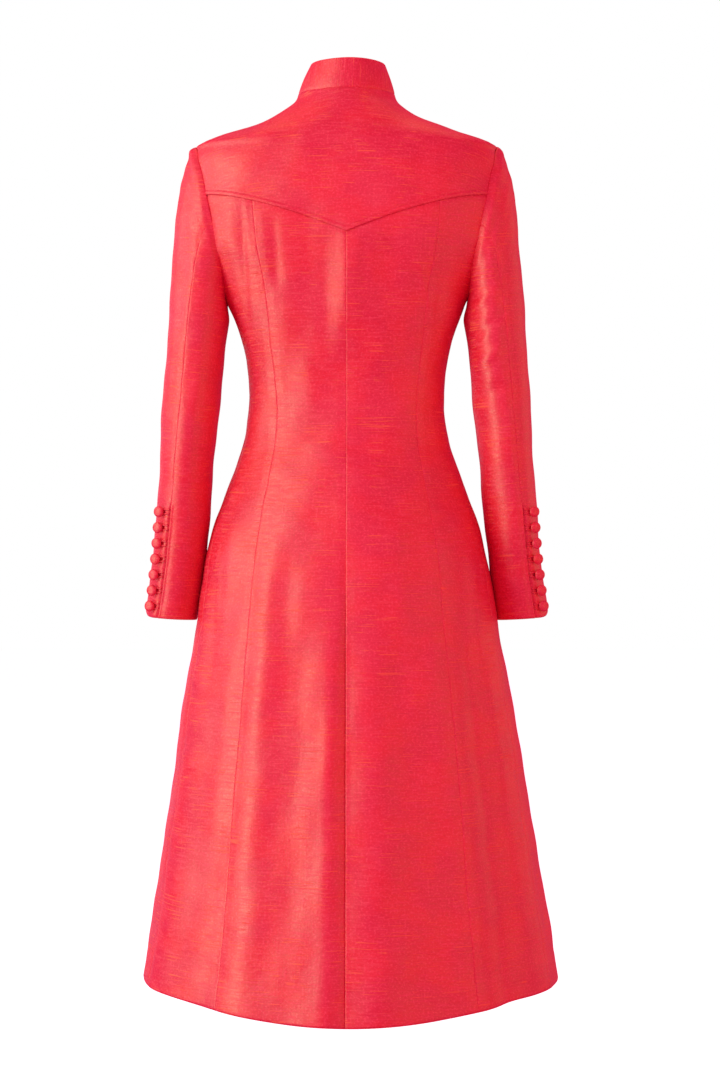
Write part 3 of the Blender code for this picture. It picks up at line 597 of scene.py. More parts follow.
half_width, back_depth, front_depth, corner_share = (
    smooth_curve(BODY_SECTIONS, column) for column in range(1, 5)
)
back_seam = smooth_curve(BACK_SEAM, 1)
side_seam_deg = smooth_curve(SIDE_SEAM, 1)
sleeve_outer, sleeve_inner, sleeve_half_depth, sleeve_middle = (
    smooth_curve(SLEEVE_SECTIONS, column) for column in range(1, 5)
)


def eased(share):
    """0 to 1 with level ends: three times the square less twice the cube."""
    inside = np.clip(share, 0, 1)
    return inside * inside * (3 - 2 * inside)


def normalised(vectors):
    return vectors / np.linalg.norm(vectors, axis=-1, keepdims=True)


def between(start, end, shares):
    return start + (end - start) * shares


def bell(distance, width):
    return np.exp(-((distance / width) ** 2))


def bump(angle, centre_deg, width_deg):
    """A bell round an angle, the short way round the body."""
    away = (np.degrees(angle) - centre_deg + 180) % 360 - 180
    return bell(away, width_deg)


def growth(height, begins):
    """How much of a fold there is: none where it begins, all of it at the hem."""
    return eased((begins - height) / (begins - SIDE_HEM))


def draped(height, begins, full, hem_share):
    """How much of a drape there is: it grows to where it is full, then fades to its share at the hem."""
    rise = eased((begins - height) / (begins - full))
    return rise * between(1, hem_share, eased((full - height) / (full - SIDE_HEM)))


def fold_height(angle, height):
    """How far the folds move the form out: a sum of bells, and a lopsided valley at the centre back."""
    out = np.zeros(np.broadcast(angle, height).shape)
    for centre_deg, width_deg, depth, begins in SKIRT_FOLDS:
        out = out + depth * bump(angle, centre_deg, width_deg) * growth(height, begins)
    for centre_deg, width_deg, depth, begins, full, hem_share in SKIRT_DRAPES:
        out = out + depth * bump(angle, centre_deg, width_deg) * draped(height, begins, full, hem_share)
    valley_width = np.where(np.sin(angle) < 0, SEAM_VALLEY_LEFT_DEG, SEAM_VALLEY_RIGHT_DEG)
    valley = draped(height, SEAM_VALLEY_BEGINS, SEAM_VALLEY_FULL, SEAM_VALLEY_HEM_SHARE)
    return out - SEAM_VALLEY_DEPTH * bump(angle, 0.0, valley_width) * valley


def body(angle, height):
    """The coat's form: at each height an ellipse of unlike back and front, with its diagonals eased
    out by the corner share, swelled along its radius by the folds. Angle 0 is the centre back."""
    diagonal = 1 + corner_share(height) * np.sin(2 * angle) ** 2
    depth = np.where(np.cos(angle) > 0, back_depth(height), front_depth(height))
    x = half_width(height) * np.sin(angle) * diagonal
    y = -depth * np.cos(angle) * diagonal
    swell = 1 + fold_height(angle, height) / np.hypot(x, y)
    return np.stack(np.broadcast_arrays(x * swell, y * swell, height), axis=-1)


def body_normal(angle, height):
    """Out of the cloth: the cross product of small steps round and up the form."""
    round_the_body = body(angle + DIFFERENCE, height) - body(angle - DIFFERENCE, height)
    up_the_body = body(angle, height + DIFFERENCE) - body(angle, height - DIFFERENCE)
    return normalised(np.cross(round_the_body, up_the_body))


def angle_for(distance, angle, height):
    """The change of angle that covers a distance round the body."""
    step = body(angle + DIFFERENCE, height) - body(angle - DIFFERENCE, height)
    return distance * 2 * DIFFERENCE / np.linalg.norm(step, axis=-1)


def angle_at(from_centre, height):
    """The angle behind the side where the form is this far from the centre plane."""
    angle = np.arcsin(np.clip(from_centre / half_width(height), 0, 1))
    for _ in range(SOLVING_STEPS):
        diagonal = 1 + corner_share(height) * np.sin(2 * angle) ** 2
        angle = np.arcsin(np.clip(from_centre / (half_width(height) * diagonal), 0, 1))
    return angle


def armhole_share(height):
    """The armhole's level from -1 at the shoulder tip to 1 at the underarm."""
    return np.clip(2 * (SHOULDER_TIP - height) / (SHOULDER_TIP - UNDERARM) - 1, -1, 1)


def armhole_opening(height, widest_deg, egg):
    """How far round from the side the armhole's edge is: a half ellipse, fuller below."""
    level = armhole_share(height)
    return np.radians(widest_deg) * np.sqrt(1 - level**2) * (1 + egg * level)


def back_outer_angle(height):
    """The back's outer edge: the shoulder seam, the armhole, then the side seam."""
    opening = armhole_opening(height, ARMHOLE_BACK_DEG, ARMHOLE_BACK_EGG)
    return np.radians(side_seam_deg(height)) - opening


def front_outer_angle(height):
    """The front's outer edge: the shoulder seam, the armhole, then the side seam."""
    opening = armhole_opening(height, ARMHOLE_FRONT_DEG, ARMHOLE_FRONT_EGG)
    return np.radians(side_seam_deg(height)) + opening


def neck_height(angle):
    """The collar seam: level behind the shoulders and dipping to the centre front."""
    past_side = np.clip(np.abs(angle) - QUARTER_TURN, 0, QUARTER_TURN)
    return -FRONT_NECK_DROP * np.sin(past_side) ** 2


def hem_height(angle):
    """The hem: it dips at the back, hangs a little lower on the right, and rises with the folds."""
    dip = HEM_DIP_BACK * np.clip(np.cos(angle), 0, 1) ** HEM_DIP_POWER
    taken_up = HEM_LEVEL * fold_height(angle, SIDE_HEM - dip) * np.cos(angle)
    return SIDE_HEM - dip - HEM_TILT * np.sin(angle) + taken_up


def yoke_edge(from_centre):
    """The yoke's lower edge: it dips from the armhole to a point at the centre back."""
    share = np.clip(1 - np.abs(from_centre) / YOKE_SIDE_WIDTH, 0, 1)
    return YOKE_SIDE_HEIGHT - YOKE_POINT_DROP * share**YOKE_CURVE


def yoke_edge_on(angle_of):
    """The height where each column's line meets the yoke's edge, found by repeated steps."""
    height = np.full(np.shape(angle_of(YOKE_SIDE_HEIGHT)), YOKE_SIDE_HEIGHT)
    for _ in range(SOLVING_STEPS):
        height = yoke_edge(body(angle_of(height), height)[..., 0])
    return height


def cosine_shares(count, from_level, to_level):
    """Row shares that are close together near the armhole's top and bottom."""
    turns = np.linspace(np.arccos(-from_level), np.arccos(-to_level), count + 1)
    spread = np.cos(turns[0]) - np.cos(turns)
    return spread / spread[-1]


def edge_shares(count):
    """Shares from 0 to 1 that crowd towards both ends, by a sine taken off an even run."""
    even = np.linspace(0, 1, count + 1)
    return even - EDGE_CROWDING * np.sin(2 * np.pi * even) / (2 * np.pi)


def end_shares(count):
    """Shares from 0 to 1 that crowd towards the end alone, by their own power run."""
    even = np.linspace(0, 1, count + 1)
    return even + END_CROWDING * even**END_POWER * (1 - even)


def lengths_along(points, axis=0):
    """Lengths along a line, or along one way of a grid, from its first point."""
    steps = np.linalg.norm(np.diff(points, axis=axis), axis=-1)
    start = np.zeros_like(np.take(steps, [0], axis=axis))
    return np.concatenate([start, np.cumsum(steps, axis=axis)], axis=axis)


def edge_distances(points):
    """Lengths along the cloth from a grid's first column, last column, first row and last row."""
    first = lengths_along(points, 1)
    top = lengths_along(points, 0)
    return first, first[:, -1:] - first, top, top[-1:] - top


def seam_roll(distance):
    """Cloth turning down into a seam: a bell-shaped dip, and a faint ridge over the allowance."""
    ridge = SEAM_RIDGE * bell(distance - SEAM_RIDGE_AT, SEAM_RIDGE_WIDTH)
    return ridge - SEAM_DIP * bell(distance, SEAM_DIP_WIDTH)


def seam_step(distance, height):
    """The sunk edge of the left back panel: half a bell that deepens down the skirt."""
    share = eased((SEAM_STEP_BEGINS - height) / SEAM_STEP_EASE)
    return -SEAM_STEP * bell(distance, SEAM_STEP_WIDTH) * share


def pucker(distance, along, phase):
    """Uneven waves along a seam: sines of unlike lengths, fading away from the seam."""
    waves = sum(np.sin(along / length + share * phase) for length, share in PUCKER_WAVES)
    fade = np.exp(-distance / PUCKER_REACH) * (1 - bell(distance, PUCKER_CLEAR))
    return PUCKER_DEPTH * waves * fade


def wobble(points):
    """The slight unevenness of silk: long sines in unlike directions, added up."""
    waves = 0
    for along_x, along_y, along_z, phase, share in WOBBLE_WAVES:
        waves = waves + share * np.sin(points @ np.array((along_x, along_y, along_z)) + phase)
    return WOBBLE_DEPTH * waves


def creases(points, normal):
    """Soft troughs and ridges: bells about straight lines in the plane of X and Z,
    fading at both ends, on the side of the coat that the cloth faces."""
    x = points[..., 0]
    z = points[..., 2]
    behind = eased(0.5 - FACING_STEEPNESS * normal[..., 1])
    relief = np.zeros(x.shape)
    for table, shown in ((BACK_CREASES, behind), (FRONT_CREASES, 1 - behind)):
        for start_x, start_z, end_x, end_z, width, depth in table:
            run_x = end_x - start_x
            run_z = end_z - start_z
            length = np.hypot(run_x, run_z)
            along = ((x - start_x) * run_x + (z - start_z) * run_z) / length**2
            away = ((x - start_x) * run_z - (z - start_z) * run_x) / length
            fade = eased(along / CREASE_FADE + CREASE_END) * eased((1 - along) / CREASE_FADE + CREASE_END)
            relief = relief + depth * bell(away, width) * fade * shown
    return relief + back_ridge(x, z) * behind


def back_ridge(x, z):
    """The raised seam below the yoke: half a narrow bell and half a wide one, fading at its end."""
    width = np.where(x < 0, BACK_RIDGE_LEFT, BACK_RIDGE_RIGHT)
    share = (BACK_RIDGE_TOP - z) / (BACK_RIDGE_TOP - BACK_RIDGE_END)
    fade = eased(share * BACK_RIDGE_RISE) * eased((1 - share) * BACK_RIDGE_FADE)
    return BACK_RIDGE * bell(x, width) * fade


def hem_relief(to_hem):
    """The turned-up hem: cloth a little thicker below the turn-up's line."""
    return HEM_THICKNESS * eased((HEM_TURN_UP - to_hem) / HEM_EASE)


def edge_round(edge, wall):
    """How far a wall's faces draw together near an edge, as a round of nearly half the wall."""
    radius = EDGE_ROUND * wall
    short = radius - np.clip(edge, 0, radius)
    return radius - np.sqrt(np.maximum(radius**2 - short**2, 0))


def moved_on(across, down, index):
    """Places across and down the cloth, moved on so that no two pieces share their slubs."""
    return np.stack([across + WEAVE_SHIFT[0] * index, down + WEAVE_SHIFT[1] * index], axis=-1)


def weave_places(points, normal, index, droop=0.0):
    """Places on the cloth in metres: across from the middle column, and down along it at the same
    height. In the skirt they lean with that column, so that the weft stays square to its grain. A
    droop lets the weft fall where the cloth comes forward of that column."""
    middle = points.shape[1] // 2
    first = lengths_along(points, 1)
    across = first - first[:, middle][:, None]
    line = points[:, middle]
    aside = points[:, middle + 1] - points[:, middle - 1]
    level = np.cross(normal[:, middle], (0.0, 0.0, 1.0))
    level = normalised(level * np.sign((level * aside).sum(axis=-1))[:, None])
    lean = (normalised(np.gradient(line, axis=0)) * level).sum(axis=-1)
    lean = lean * eased((LEAN_BEGINS - line[:, 2]) / LEAN_EASE)
    heights = line[::-1, 2]
    inside = np.clip(points[..., 2], heights[0], heights[-1])
    down = np.interp(inside, heights, lengths_along(line)[::-1]) + inside - points[..., 2]
    middle_depth = np.interp(inside, heights, line[::-1, 1])
    down = down - droop * (points[..., 1] - middle_depth)
    down = down + across * np.interp(inside, heights, lean[::-1])
    return moved_on(across, down, index)


def sleeve_weave(points, index):
    """Places on a sleeve's cloth: across along each row, and down along the sleeve's own axis."""
    across = lengths_along(points, 1)
    across = across - across[:, points.shape[1] // 2][:, None]
    return moved_on(across, points @ normalised(np.array(SLEEVE_AXIS)), index)


def grid_faces(rows, columns, first, flipped):
    """Quads of a grid of points, numbered row by row from the given first point."""
    row, column = np.meshgrid(np.arange(rows - 1), np.arange(columns - 1), indexing="ij")
    corner = (first + row * columns + column).ravel()
    quads = np.stack([corner, corner + 1, corner + columns + 1, corner + columns], axis=1)
    return quads[:, ::-1] if flipped else quads


def wall_faces(rows, columns):
    """Faces of a closed wall: an outer grid, an inner grid and the rim that joins their edges."""
    count = rows * columns
    numbers = np.arange(count).reshape(rows, columns)
    edge = np.concatenate([numbers[0, :-1], numbers[:-1, -1], numbers[-1, :0:-1], numbers[:0:-1, 0]])
    after = np.roll(edge, -1)
    rim = np.stack([edge, after, after + count, edge + count], axis=1)
    outer = grid_faces(rows, columns, 0, True)
    inner = grid_faces(rows, columns, count, False)
    return np.concatenate([outer, inner, rim]).tolist()


def tube_faces(rings, sides, flipped=False, first=0):
    """Faces of a closed tube of rings of points: quads between the rings and a face over each end."""
    ring, turn = np.meshgrid(np.arange(rings - 1), np.arange(sides), indexing="ij")
    corner = (ring * sides + turn).ravel() + first
    following = (ring * sides + (turn + 1) % sides).ravel() + first
    quads = np.stack([corner, following, following + sides, corner + sides], axis=1)
    ends = np.array([np.arange(sides)[::-1], (rings - 1) * sides + np.arange(sides)]) + first
    if flipped:
        quads = quads[:, (0, 3, 2, 1)]
        ends = ends[:, ::-1]
    return quads.tolist() + ends.tolist()


def add_object(name, data):
    """An object of the scene, at the origin."""
    added = bpy.data.objects.new(name, data)
    bpy.context.scene.collection.objects.link(added)
    return added


def add_mesh(name, points, faces, places, material):
    """One finished piece: its mesh from whole arrays, its places on the cloth if it has any, its
    material and its body."""
    mesh = bpy.data.meshes.new(name)
    mesh.from_pydata(points.reshape(-1, 3).tolist(), [], faces)
    if places is not None:
        corners = np.empty(len(mesh.loops), dtype=np.int32)
        mesh.loops.foreach_get("vertex_index", corners)
        layer = mesh.uv_layers.new(name="cloth")
        layer.data.foreach_set("uv", np.float32(places.reshape(-1, 2)[corners]).ravel())
    mesh.shade_smooth()
    mesh.materials.append(material)
    piece = add_object(name, mesh)
    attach(piece, "root")
    return piece


def add_cloth(node, points, normal, relief, places, flip, side=1, wall=WALL):
    """A cloth piece: its form moved out by its relief, with a wall behind it and round edges."""
    drawn = edge_round(np.minimum.reduce(edge_distances(points)), wall)
    outer = mirrored(points + normal * (relief - drawn)[..., None], side)
    inner = mirrored(points + normal * (relief - wall + drawn)[..., None], side)
    step = -1 if flip else 1
    walls = np.stack([outer[:, ::step], inner[:, ::step]])
    both_places = np.stack([places[:, ::step]] * 2)
    piece = add_mesh(f"silk_{node}", walls, wall_faces(*points.shape[:2]), both_places, silk)
    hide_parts(node)


def mirrored(points, side):
    return points * np.array((side, 1, 1))


def shoulder_rows(top):
    """Heights of even rows from a neck edge down to the shoulder tips."""
    return [between(top, SHOULDER_TIP, share) for share in np.linspace(0, 1, SHOULDER_ROWS + 1)]


def skirt_rows(hem):
    """Heights of rows from the underarm down to a hem."""
    return [between(UNDERARM, hem, share) for share in end_shares(SKIRT_ROWS)[1:]]


def make_yoke():
    """The back yoke: shoulder rows down to the tips, rows that bend to the point, then its lip."""
    across = 2 * edge_shares(YOKE_COLUMNS) - 1

    def angle_of(height):
        return across * past_edge(back_outer_angle(height), height)

    bottom = yoke_edge_on(angle_of)
    lip = bottom + LIP_WIDTH * LIP_GRID
    lower_shares = cosine_shares(YOKE_ROWS, -1, armhole_share(YOKE_SIDE_HEIGHT))[1:]
    lower = [between(SHOULDER_TIP, lip, share) for share in lower_shares]
    lip_shares = 1 - np.linspace(1, 0, LIP_ROWS + 1)[1:] ** LIP_CROWDING
    edge_rows = [between(lip, bottom, share) for share in lip_shares]
    height = np.array(shoulder_rows(np.full(across.shape, NECK_TUCK)) + lower + edge_rows)
    angle = angle_of(height)
    points = body(angle, height)
    normal = body_normal(angle, height)
    left, right, from_top, to_edge = edge_distances(points)
    lift = LIP_LIFT * eased((LIP_WIDTH * 2 - to_edge) / LIP_WIDTH)
    puff = LIP_PUFF * bell(to_edge - LIP_WIDTH * LIP_PUFF_AT, LIP_WIDTH * LIP_PUFF_WIDTH)
    groove = STITCH_GROOVE * bell(to_edge - LIP_WIDTH, STITCH_GROOVE_WIDTH)
    ends = armhole_sink(left, height) + armhole_sink(right, height) + neck_sink(from_top)
    gathers = YOKE_PUCKER * pucker(to_edge, points[..., 0], YOKE_PHASE)
    relief = lift + puff - groove + ends + gathers + creases(points, normal) + wobble(points)
    places = weave_places(points, normal, 1, YOKE_DROOP)
    add_cloth("yoke", points, normal, relief, places, False)
    make_yoke_stitches(points + normal * relief[..., None], normal, to_edge)


def make_yoke_stitches(surface, normal, to_edge):
    """A row of thread stitches along the lip: small capsules that sink at both ends.

    Each is a ring carried along a short line, its radius following half an ellipse.
    """
    rows = np.abs(to_edge - LIP_WIDTH).argmin(axis=0)
    columns = np.arange(surface.shape[1])
    line = surface[rows, columns]
    lengths = lengths_along(line)
    middles = np.arange(STITCH_PITCH, lengths[-1] - STITCH_PITCH, STITCH_PITCH)

    def on_line(values, at):
        return np.stack([np.interp(at, lengths, values[:, axis]) for axis in range(3)], axis=-1)

    half = STITCH_LENGTH / 2
    along = normalised(on_line(line, middles + half) - on_line(line, middles - half))
    out = normalised(on_line(normal[rows, columns], middles))
    aside = np.cross(out, along)
    shares = np.linspace(-1, 1, STITCH_RINGS)[:, None]
    turns = np.linspace(0, 2 * np.pi, STITCH_SIDES, endpoint=False)
    radius = STITCH_RADIUS * np.sqrt(np.maximum(1 - shares**2, STITCH_END))
    rise = STITCH_RADIUS * (STITCH_BOW - STITCH_BOW_DROP * shares**2) + radius * np.sin(turns)
    points = on_line(line, middles)[:, None, None]
    for direction, amount in ((along, half * shares), (out, rise), (aside, radius * np.cos(turns))):
        points = points + direction[:, None, None] * amount[None, ..., None]
    starts = np.arange(len(middles)) * STITCH_RINGS * STITCH_SIDES
    faces = [face for start in starts for face in tube_faces(STITCH_RINGS, STITCH_SIDES, first=start)]
    add_mesh("yoke_stitches", points, faces, None, thread)


def lower_heights(top, angle_of_hem):
    """Heights of a panel's rows: from its top edge to the underarm, then to the hem."""
    hem = hem_height(angle_of_hem)
    first_rows = cosine_shares(UPPER_BACK_ROWS, armhole_share(YOKE_SIDE_HEIGHT), 1)
    upper = [between(top, UNDERARM, share) for share in first_rows]
    return np.array(upper + skirt_rows(hem))


def tuck(from_top):
    """The top of a panel slips under the yoke's lip: sunk there, and eased up below it."""
    return -TUCK_DEPTH * (1 - eased((from_top - TUCK_HEIGHT) / TUCK_EASE))


def neck_sink(from_top):
    """The neck edge slips inside the collar: sunk above the seam, and level from there down."""
    return -SINK_DEPTH * (1 - eased((from_top - NECK_TUCK + NECK_EASE) / NECK_EASE))


def armhole_allowance(height):
    """The cloth past a panel's outer seam line: most of it half way down the armhole."""
    return SEAM_OVERLAP + ARMHOLE_ALLOWANCE * np.sqrt(1 - armhole_share(height) ** 2)


def armhole_sink(from_edge, height):
    """The allowance past the armhole's seam line sinks inside the sleeve."""
    return -SINK_DEPTH * eased((armhole_allowance(height) - from_edge) / ARMHOLE_EASE)


def past_edge(angle, height, way=1):
    """A panel's outer edge taken past its seam line: a little where panels are sewn together, and
    by a hidden allowance under the sleeve's head."""
    return angle + way * angle_for(armhole_allowance(height), angle, height)


def make_back_panel(node, side, index, angle_of, at_armhole, sunk=0):
    """A back panel between two seams, tucked under the yoke and hemmed below."""
    top = yoke_edge_on(angle_of) + TUCK_HEIGHT
    height = lower_heights(top, angle_of(SIDE_HEM))
    angle = angle_of(height)
    points = body(angle, height)
    normal = body_normal(angle, height)
    first, last, from_top, to_hem = edge_distances(points)
    relief = seam_roll(first) + seam_roll(last) + tuck(from_top) + hem_relief(to_hem)
    relief = relief + at_armhole * armhole_sink(last, height) + sunk * seam_step(first, height)
    relief = relief + pucker(first, height, index) + pucker(last, height, 2.0 * index)
    relief = relief + creases(points, normal) + wobble(points)
    places = weave_places(points, normal, index)
    add_cloth(node, points, normal, relief, places, side < 0)


def make_centre_back(word, side, index):
    """The panel from the centre-back seam to the curved seam."""
    shares = edge_shares(CENTRE_BACK_COLUMNS)

    def angle_of(height):
        seam = angle_at(back_seam(height), height)
        past = angle_for(SEAM_OVERLAP, seam, height)
        start = angle_for(SEAM_OVERLAP, 0.0, height)
        return side * between(-start, seam + past, shares)

    make_back_panel(f"centre_back_{word}", side, index, angle_of, 0, side < 0)


def make_side_back(word, side, index):
    """The panel from the curved seam out to the armhole and the side seam."""
    shares = edge_shares(SIDE_BACK_COLUMNS)

    def angle_of(height):
        seam = angle_at(back_seam(height), height)
        start = seam - angle_for(SEAM_OVERLAP, seam, height)
        return side * between(start, past_edge(back_outer_angle(height), height), shares)

    make_back_panel(f"side_back_{word}", side, index, angle_of, 1)


def make_front(word, side, index):
    """A whole front, from the shoulder, armhole and side seam to just past the centre front."""
    shares = edge_shares(FRONT_COLUMNS)

    def angle_of(height):
        start = past_edge(front_outer_angle(height), height, -1)
        past = angle_for(LAP_PAST_CENTRE, HALF_TURN, height)
        return between(start, HALF_TURN + past, shares)

    neck = np.full(shares.shape, SHOULDER_TIP)
    for _ in range(SOLVING_STEPS):
        neck = neck_height(angle_of(neck)) + NECK_TUCK
    armhole = [
        np.full(shares.shape, between(SHOULDER_TIP, UNDERARM, share))
        for share in cosine_shares(ARMHOLE_ROWS, -1, 1)[1:]
    ]
    hem = hem_height(side * angle_of(SIDE_HEM))
    height = np.array(shoulder_rows(neck) + armhole + skirt_rows(hem))
    angle = side * angle_of(height)
    points = body(angle, height)
    normal = body_normal(angle, height)
    first, last, from_top, to_hem = edge_distances(points)
    towards_lap = LAP_LEVEL + LAP_EASE - last
    lift = LAP_LIFT * eased(towards_lap / LAP_EASE) * (side > 0)
    relief = lift + seam_roll(first) + neck_sink(from_top) + hem_relief(to_hem)
    relief = relief + armhole_sink(first, height)
    relief = relief + pucker(first, height, index) + creases(points, normal) + wobble(points)
    places = weave_places(points, normal, index)
    add_cloth(f"front_{word}", points, normal, relief, places, side < 0)


def collar_point(angle, share):
    """The collar's form: lines from the neck seam to its narrower top edge, which lies a little to one
    side and is rounded down where its ends meet at the centre front."""
    bottom = body(angle, neck_height(angle))
    past_side = np.clip(np.abs(angle) - QUARTER_TURN, 0, QUARTER_TURN)
    rise = between(COLLAR_HEIGHT_BACK, COLLAR_HEIGHT_FRONT, np.sin(past_side) ** 2)
    to_end = (HALF_TURN - np.abs(angle)) * COLLAR_TOP_FRONT
    short = np.clip(COLLAR_END_ROUND - to_end, 0, COLLAR_END_ROUND)
    rise = rise - COLLAR_END_ROUND + np.sqrt(COLLAR_END_ROUND**2 - short**2)
    depth = np.where(np.cos(angle) > 0, COLLAR_TOP_BACK, COLLAR_TOP_FRONT)
    top_x = COLLAR_TOP_HALF_WIDTH * np.sin(angle) + COLLAR_LEAN
    top_y = -depth * np.cos(angle)
    top = np.stack(np.broadcast_arrays(top_x, top_y, neck_height(angle) + rise), axis=-1)
    return between(bottom, top, np.asarray(share)[..., None])


def make_collar():
    """The stand collar, one band whose ends meet at the centre front, its slubs upright."""
    end = HALF_TURN - COLLAR_END_GAP / 2 / COLLAR_TOP_FRONT
    angles = between(-end, end, edge_shares(COLLAR_COLUMNS))
    shares = between(1, 0, edge_shares(COLLAR_ROWS))
    share, angle = np.meshgrid(shares, angles, indexing="ij")
    points = collar_point(angle, share)
    round_the_neck = collar_point(angle + DIFFERENCE, share) - collar_point(angle - DIFFERENCE, share)
    up_the_neck = collar_point(angle, share + DIFFERENCE) - collar_point(angle, share - DIFFERENCE)
    normal = normalised(np.cross(round_the_neck, up_the_neck))
    to_foot = edge_distances(points)[3]
    relief = COLLAR_SWELL * 4 * share * (1 - share) - COLLAR_FOOT_DIP * bell(to_foot, COLLAR_FOOT_WIDTH)
    relief = relief + pucker(to_foot, angle * COLLAR_TOP_BACK, COLLAR_PHASE) + wobble(points)
    places = weave_places(points, normal, 12)[..., ::-1]
    add_cloth("collar", points, normal, relief, places, False, wall=COLLAR_WALL)


def armhole_point(turn):
    """The armhole's edge on the body: 0 is the shoulder tip, and turns go by the back."""
    height = between(UNDERARM, SHOULDER_TIP, (1 + np.cos(turn)) / 2)
    angle = np.where(np.sin(turn) >= 0, back_outer_angle(height), front_outer_angle(height))
    return body(angle, height)


def sleeve_ring(turn, height):
    """A level ring of the right sleeve below its cap: an ellipse about the sleeve's middle."""
    middle_x = (sleeve_outer(height) + sleeve_inner(height)) / 2
    half_x = (sleeve_outer(height) - sleeve_inner(height)) / 2
    x = middle_x + half_x * np.cos(turn)
    y = sleeve_middle(height) - sleeve_half_depth(height) * np.sin(turn)
    return np.stack(np.broadcast_arrays(x, y, height), axis=-1)


def cap_start(turn):
    """The direction and pull with which the sleeve cap leaves the armhole."""
    top = ((1 + np.cos(turn)) / 2) ** 2
    under = ((1 - np.cos(turn)) / 2) ** 2
    aside = 1 - top - under
    pull = top[..., None] * np.array(CAP_TOP) + under[..., None] * np.array(CAP_UNDER)
    side = np.array(CAP_SIDE) * np.stack(
        [np.ones(turn.shape), -np.sign(np.sin(turn)), np.ones(turn.shape)], axis=-1
    )
    return pull + aside[..., None] * side


def cuff_height(turn):
    """The cuff's edge: slanted, and lifted to a rounded corner at the outermost line."""
    corner = bump(turn, 0.0, CUFF_CORNER_DEG)
    return CUFF_MIDDLE + CUFF_SLANT * np.cos(turn) + CUFF_CORNER_LIFT * corner


def sleeve_point(turn, along):
    """The right sleeve's outer face: along runs 0 to 1 down the cap and 1 to 2 to the cuff.

    The cap is a cubic from the armhole's edge to the first level ring.
    """
    turn, along = np.broadcast_arrays(np.asarray(turn, float), np.asarray(along, float))
    first = SLEEVE_SECTIONS[0][0]
    pull = cap_start(turn)
    start = armhole_point(turn) + ARMHOLE_GAP * normalised(pull)
    end = sleeve_ring(turn, np.full(turn.shape, first))
    below = sleeve_ring(turn, np.full(turn.shape, first - DIFFERENCE))
    drop = (start[..., 2] - first)[..., None]
    leave = (below - end) / DIFFERENCE * drop
    cap = cubic(np.clip(along, 0, 1)[..., None], start, pull, end, leave)
    arm = sleeve_ring(turn, between(first, cuff_height(turn), np.clip(along - 1, 0, 1)))
    return np.where(along[..., None] <= 1, cap, arm)


def sleeve_normal(turn, along):
    """Out of the sleeve: the cross product of small steps round and down it."""
    round_the_arm = sleeve_point(turn + DIFFERENCE, along) - sleeve_point(turn - DIFFERENCE, along)
    before = np.clip(along - DIFFERENCE, 0, 2)
    after = np.clip(along + DIFFERENCE, 0, 2)
    down_the_arm = sleeve_point(turn, after) - sleeve_point(turn, before)
    return normalised(np.cross(round_the_arm, down_the_arm))


def hindarm_turn(height):
    """The hindarm seam's place round the sleeve, nearer the outside towards the cuff."""
    share = (height - HINDARM_TOP_HEIGHT) / (HINDARM_CUFF_HEIGHT - HINDARM_TOP_HEIGHT)
    return np.radians(between(HINDARM_TOP_DEG, HINDARM_CUFF_DEG, np.clip(share, 0, 1)))


def hindarm_along(along):
    """The hindarm seam's turn for rows of the sleeve, bending in towards the body up the cap."""
    middle_turn = np.radians((HINDARM_TOP_DEG + HINDARM_CUFF_DEG) / 2)
    height = sleeve_point(np.full(np.shape(along), middle_turn), along)[..., 2]
    return hindarm_turn(height) + np.radians(HINDARM_CAP_DEG) * np.clip(1 - along, 0, 1) ** 2


def make_sleeve_piece(node, side, index, columns, top_piece):
    """One piece of a sleeve between the forearm and hindarm seams, with its head and cuff."""
    cap = np.linspace(0, 1, CAP_ROWS + 1) ** CAP_CROWDING
    along = np.concatenate([cap, 1 + end_shares(SLEEVE_ROWS)[1:]])
    overlap = SEAM_OVERLAP / SLEEVE_SECTIONS[-1][3]
    hindarm = hindarm_along(along)
    forearm = np.full(along.shape, np.radians(FOREARM_DEG))
    start, end = (forearm - 2 * np.pi, hindarm) if top_piece else (hindarm, forearm)
    shares = edge_shares(columns)[None, :]
    turn = between((start - overlap)[:, None], (end + overlap)[:, None], shares)
    rows = np.broadcast_to(along[:, None], turn.shape)
    points = sleeve_point(turn, rows)
    normal = sleeve_normal(turn, rows)
    first, last, from_top, _ = edge_distances(points)
    to_hindarm = last if top_piece else first
    height = points[..., 2]
    worn = mirrored(points, side)
    worn_normal = mirrored(normal, side)
    opening = eased((OPENING_TOP - height) / OPENING_EASE)
    roll = OPENING_ROLL * bell(to_hindarm - OPENING_ROLL_WIDTH, OPENING_ROLL_WIDTH)
    sink = -OPENING_SINK * (1 - eased(to_hindarm / OPENING_SINK_WIDTH))
    head = np.clip(np.cos(turn) * HEAD_SPREAD + HEAD_MIDDLE, 0, 1)
    bands = np.sin(2 * np.pi * from_top / HEAD_BAND_PITCH + HEAD_BAND_SLANT * turn + side)
    bands = HEAD_BAND_DEPTH * bands * np.exp(-from_top / HEAD_BAND_REACH)
    head_relief = (HEAD_ROLL * bell(from_top - HEAD_ROLL_AT, HEAD_ROLL_WIDTH) + bands) * head
    relief = seam_roll(first) + seam_roll(last) + head_relief + opening * (sink if top_piece else roll)
    relief = relief + seam_roll(from_top) + top_piece * cuff_puffs(height, to_hindarm)
    relief = relief + HINDARM_PUCKER * pucker(to_hindarm, height, index)
    relief = relief + creases(worn, worn_normal) + wobble(worn)
    places = sleeve_weave(points, index)
    add_cloth(node, points, normal, relief, places, side > 0, side)


def cuff_puffs(height, to_hindarm):
    """Cloth that puffs up between neighbouring loops: a bell at each gap between two buttons."""
    middles = BUTTON_TOP - BUTTON_PITCH * (np.arange(BUTTON_COUNT) + 0.5)
    rows = bell(height[..., None] - middles, PUFF_HEIGHT).sum(axis=-1)
    return PUFF_RISE * rows * bell(to_hindarm - PUFF_AT, PUFF_WIDTH)


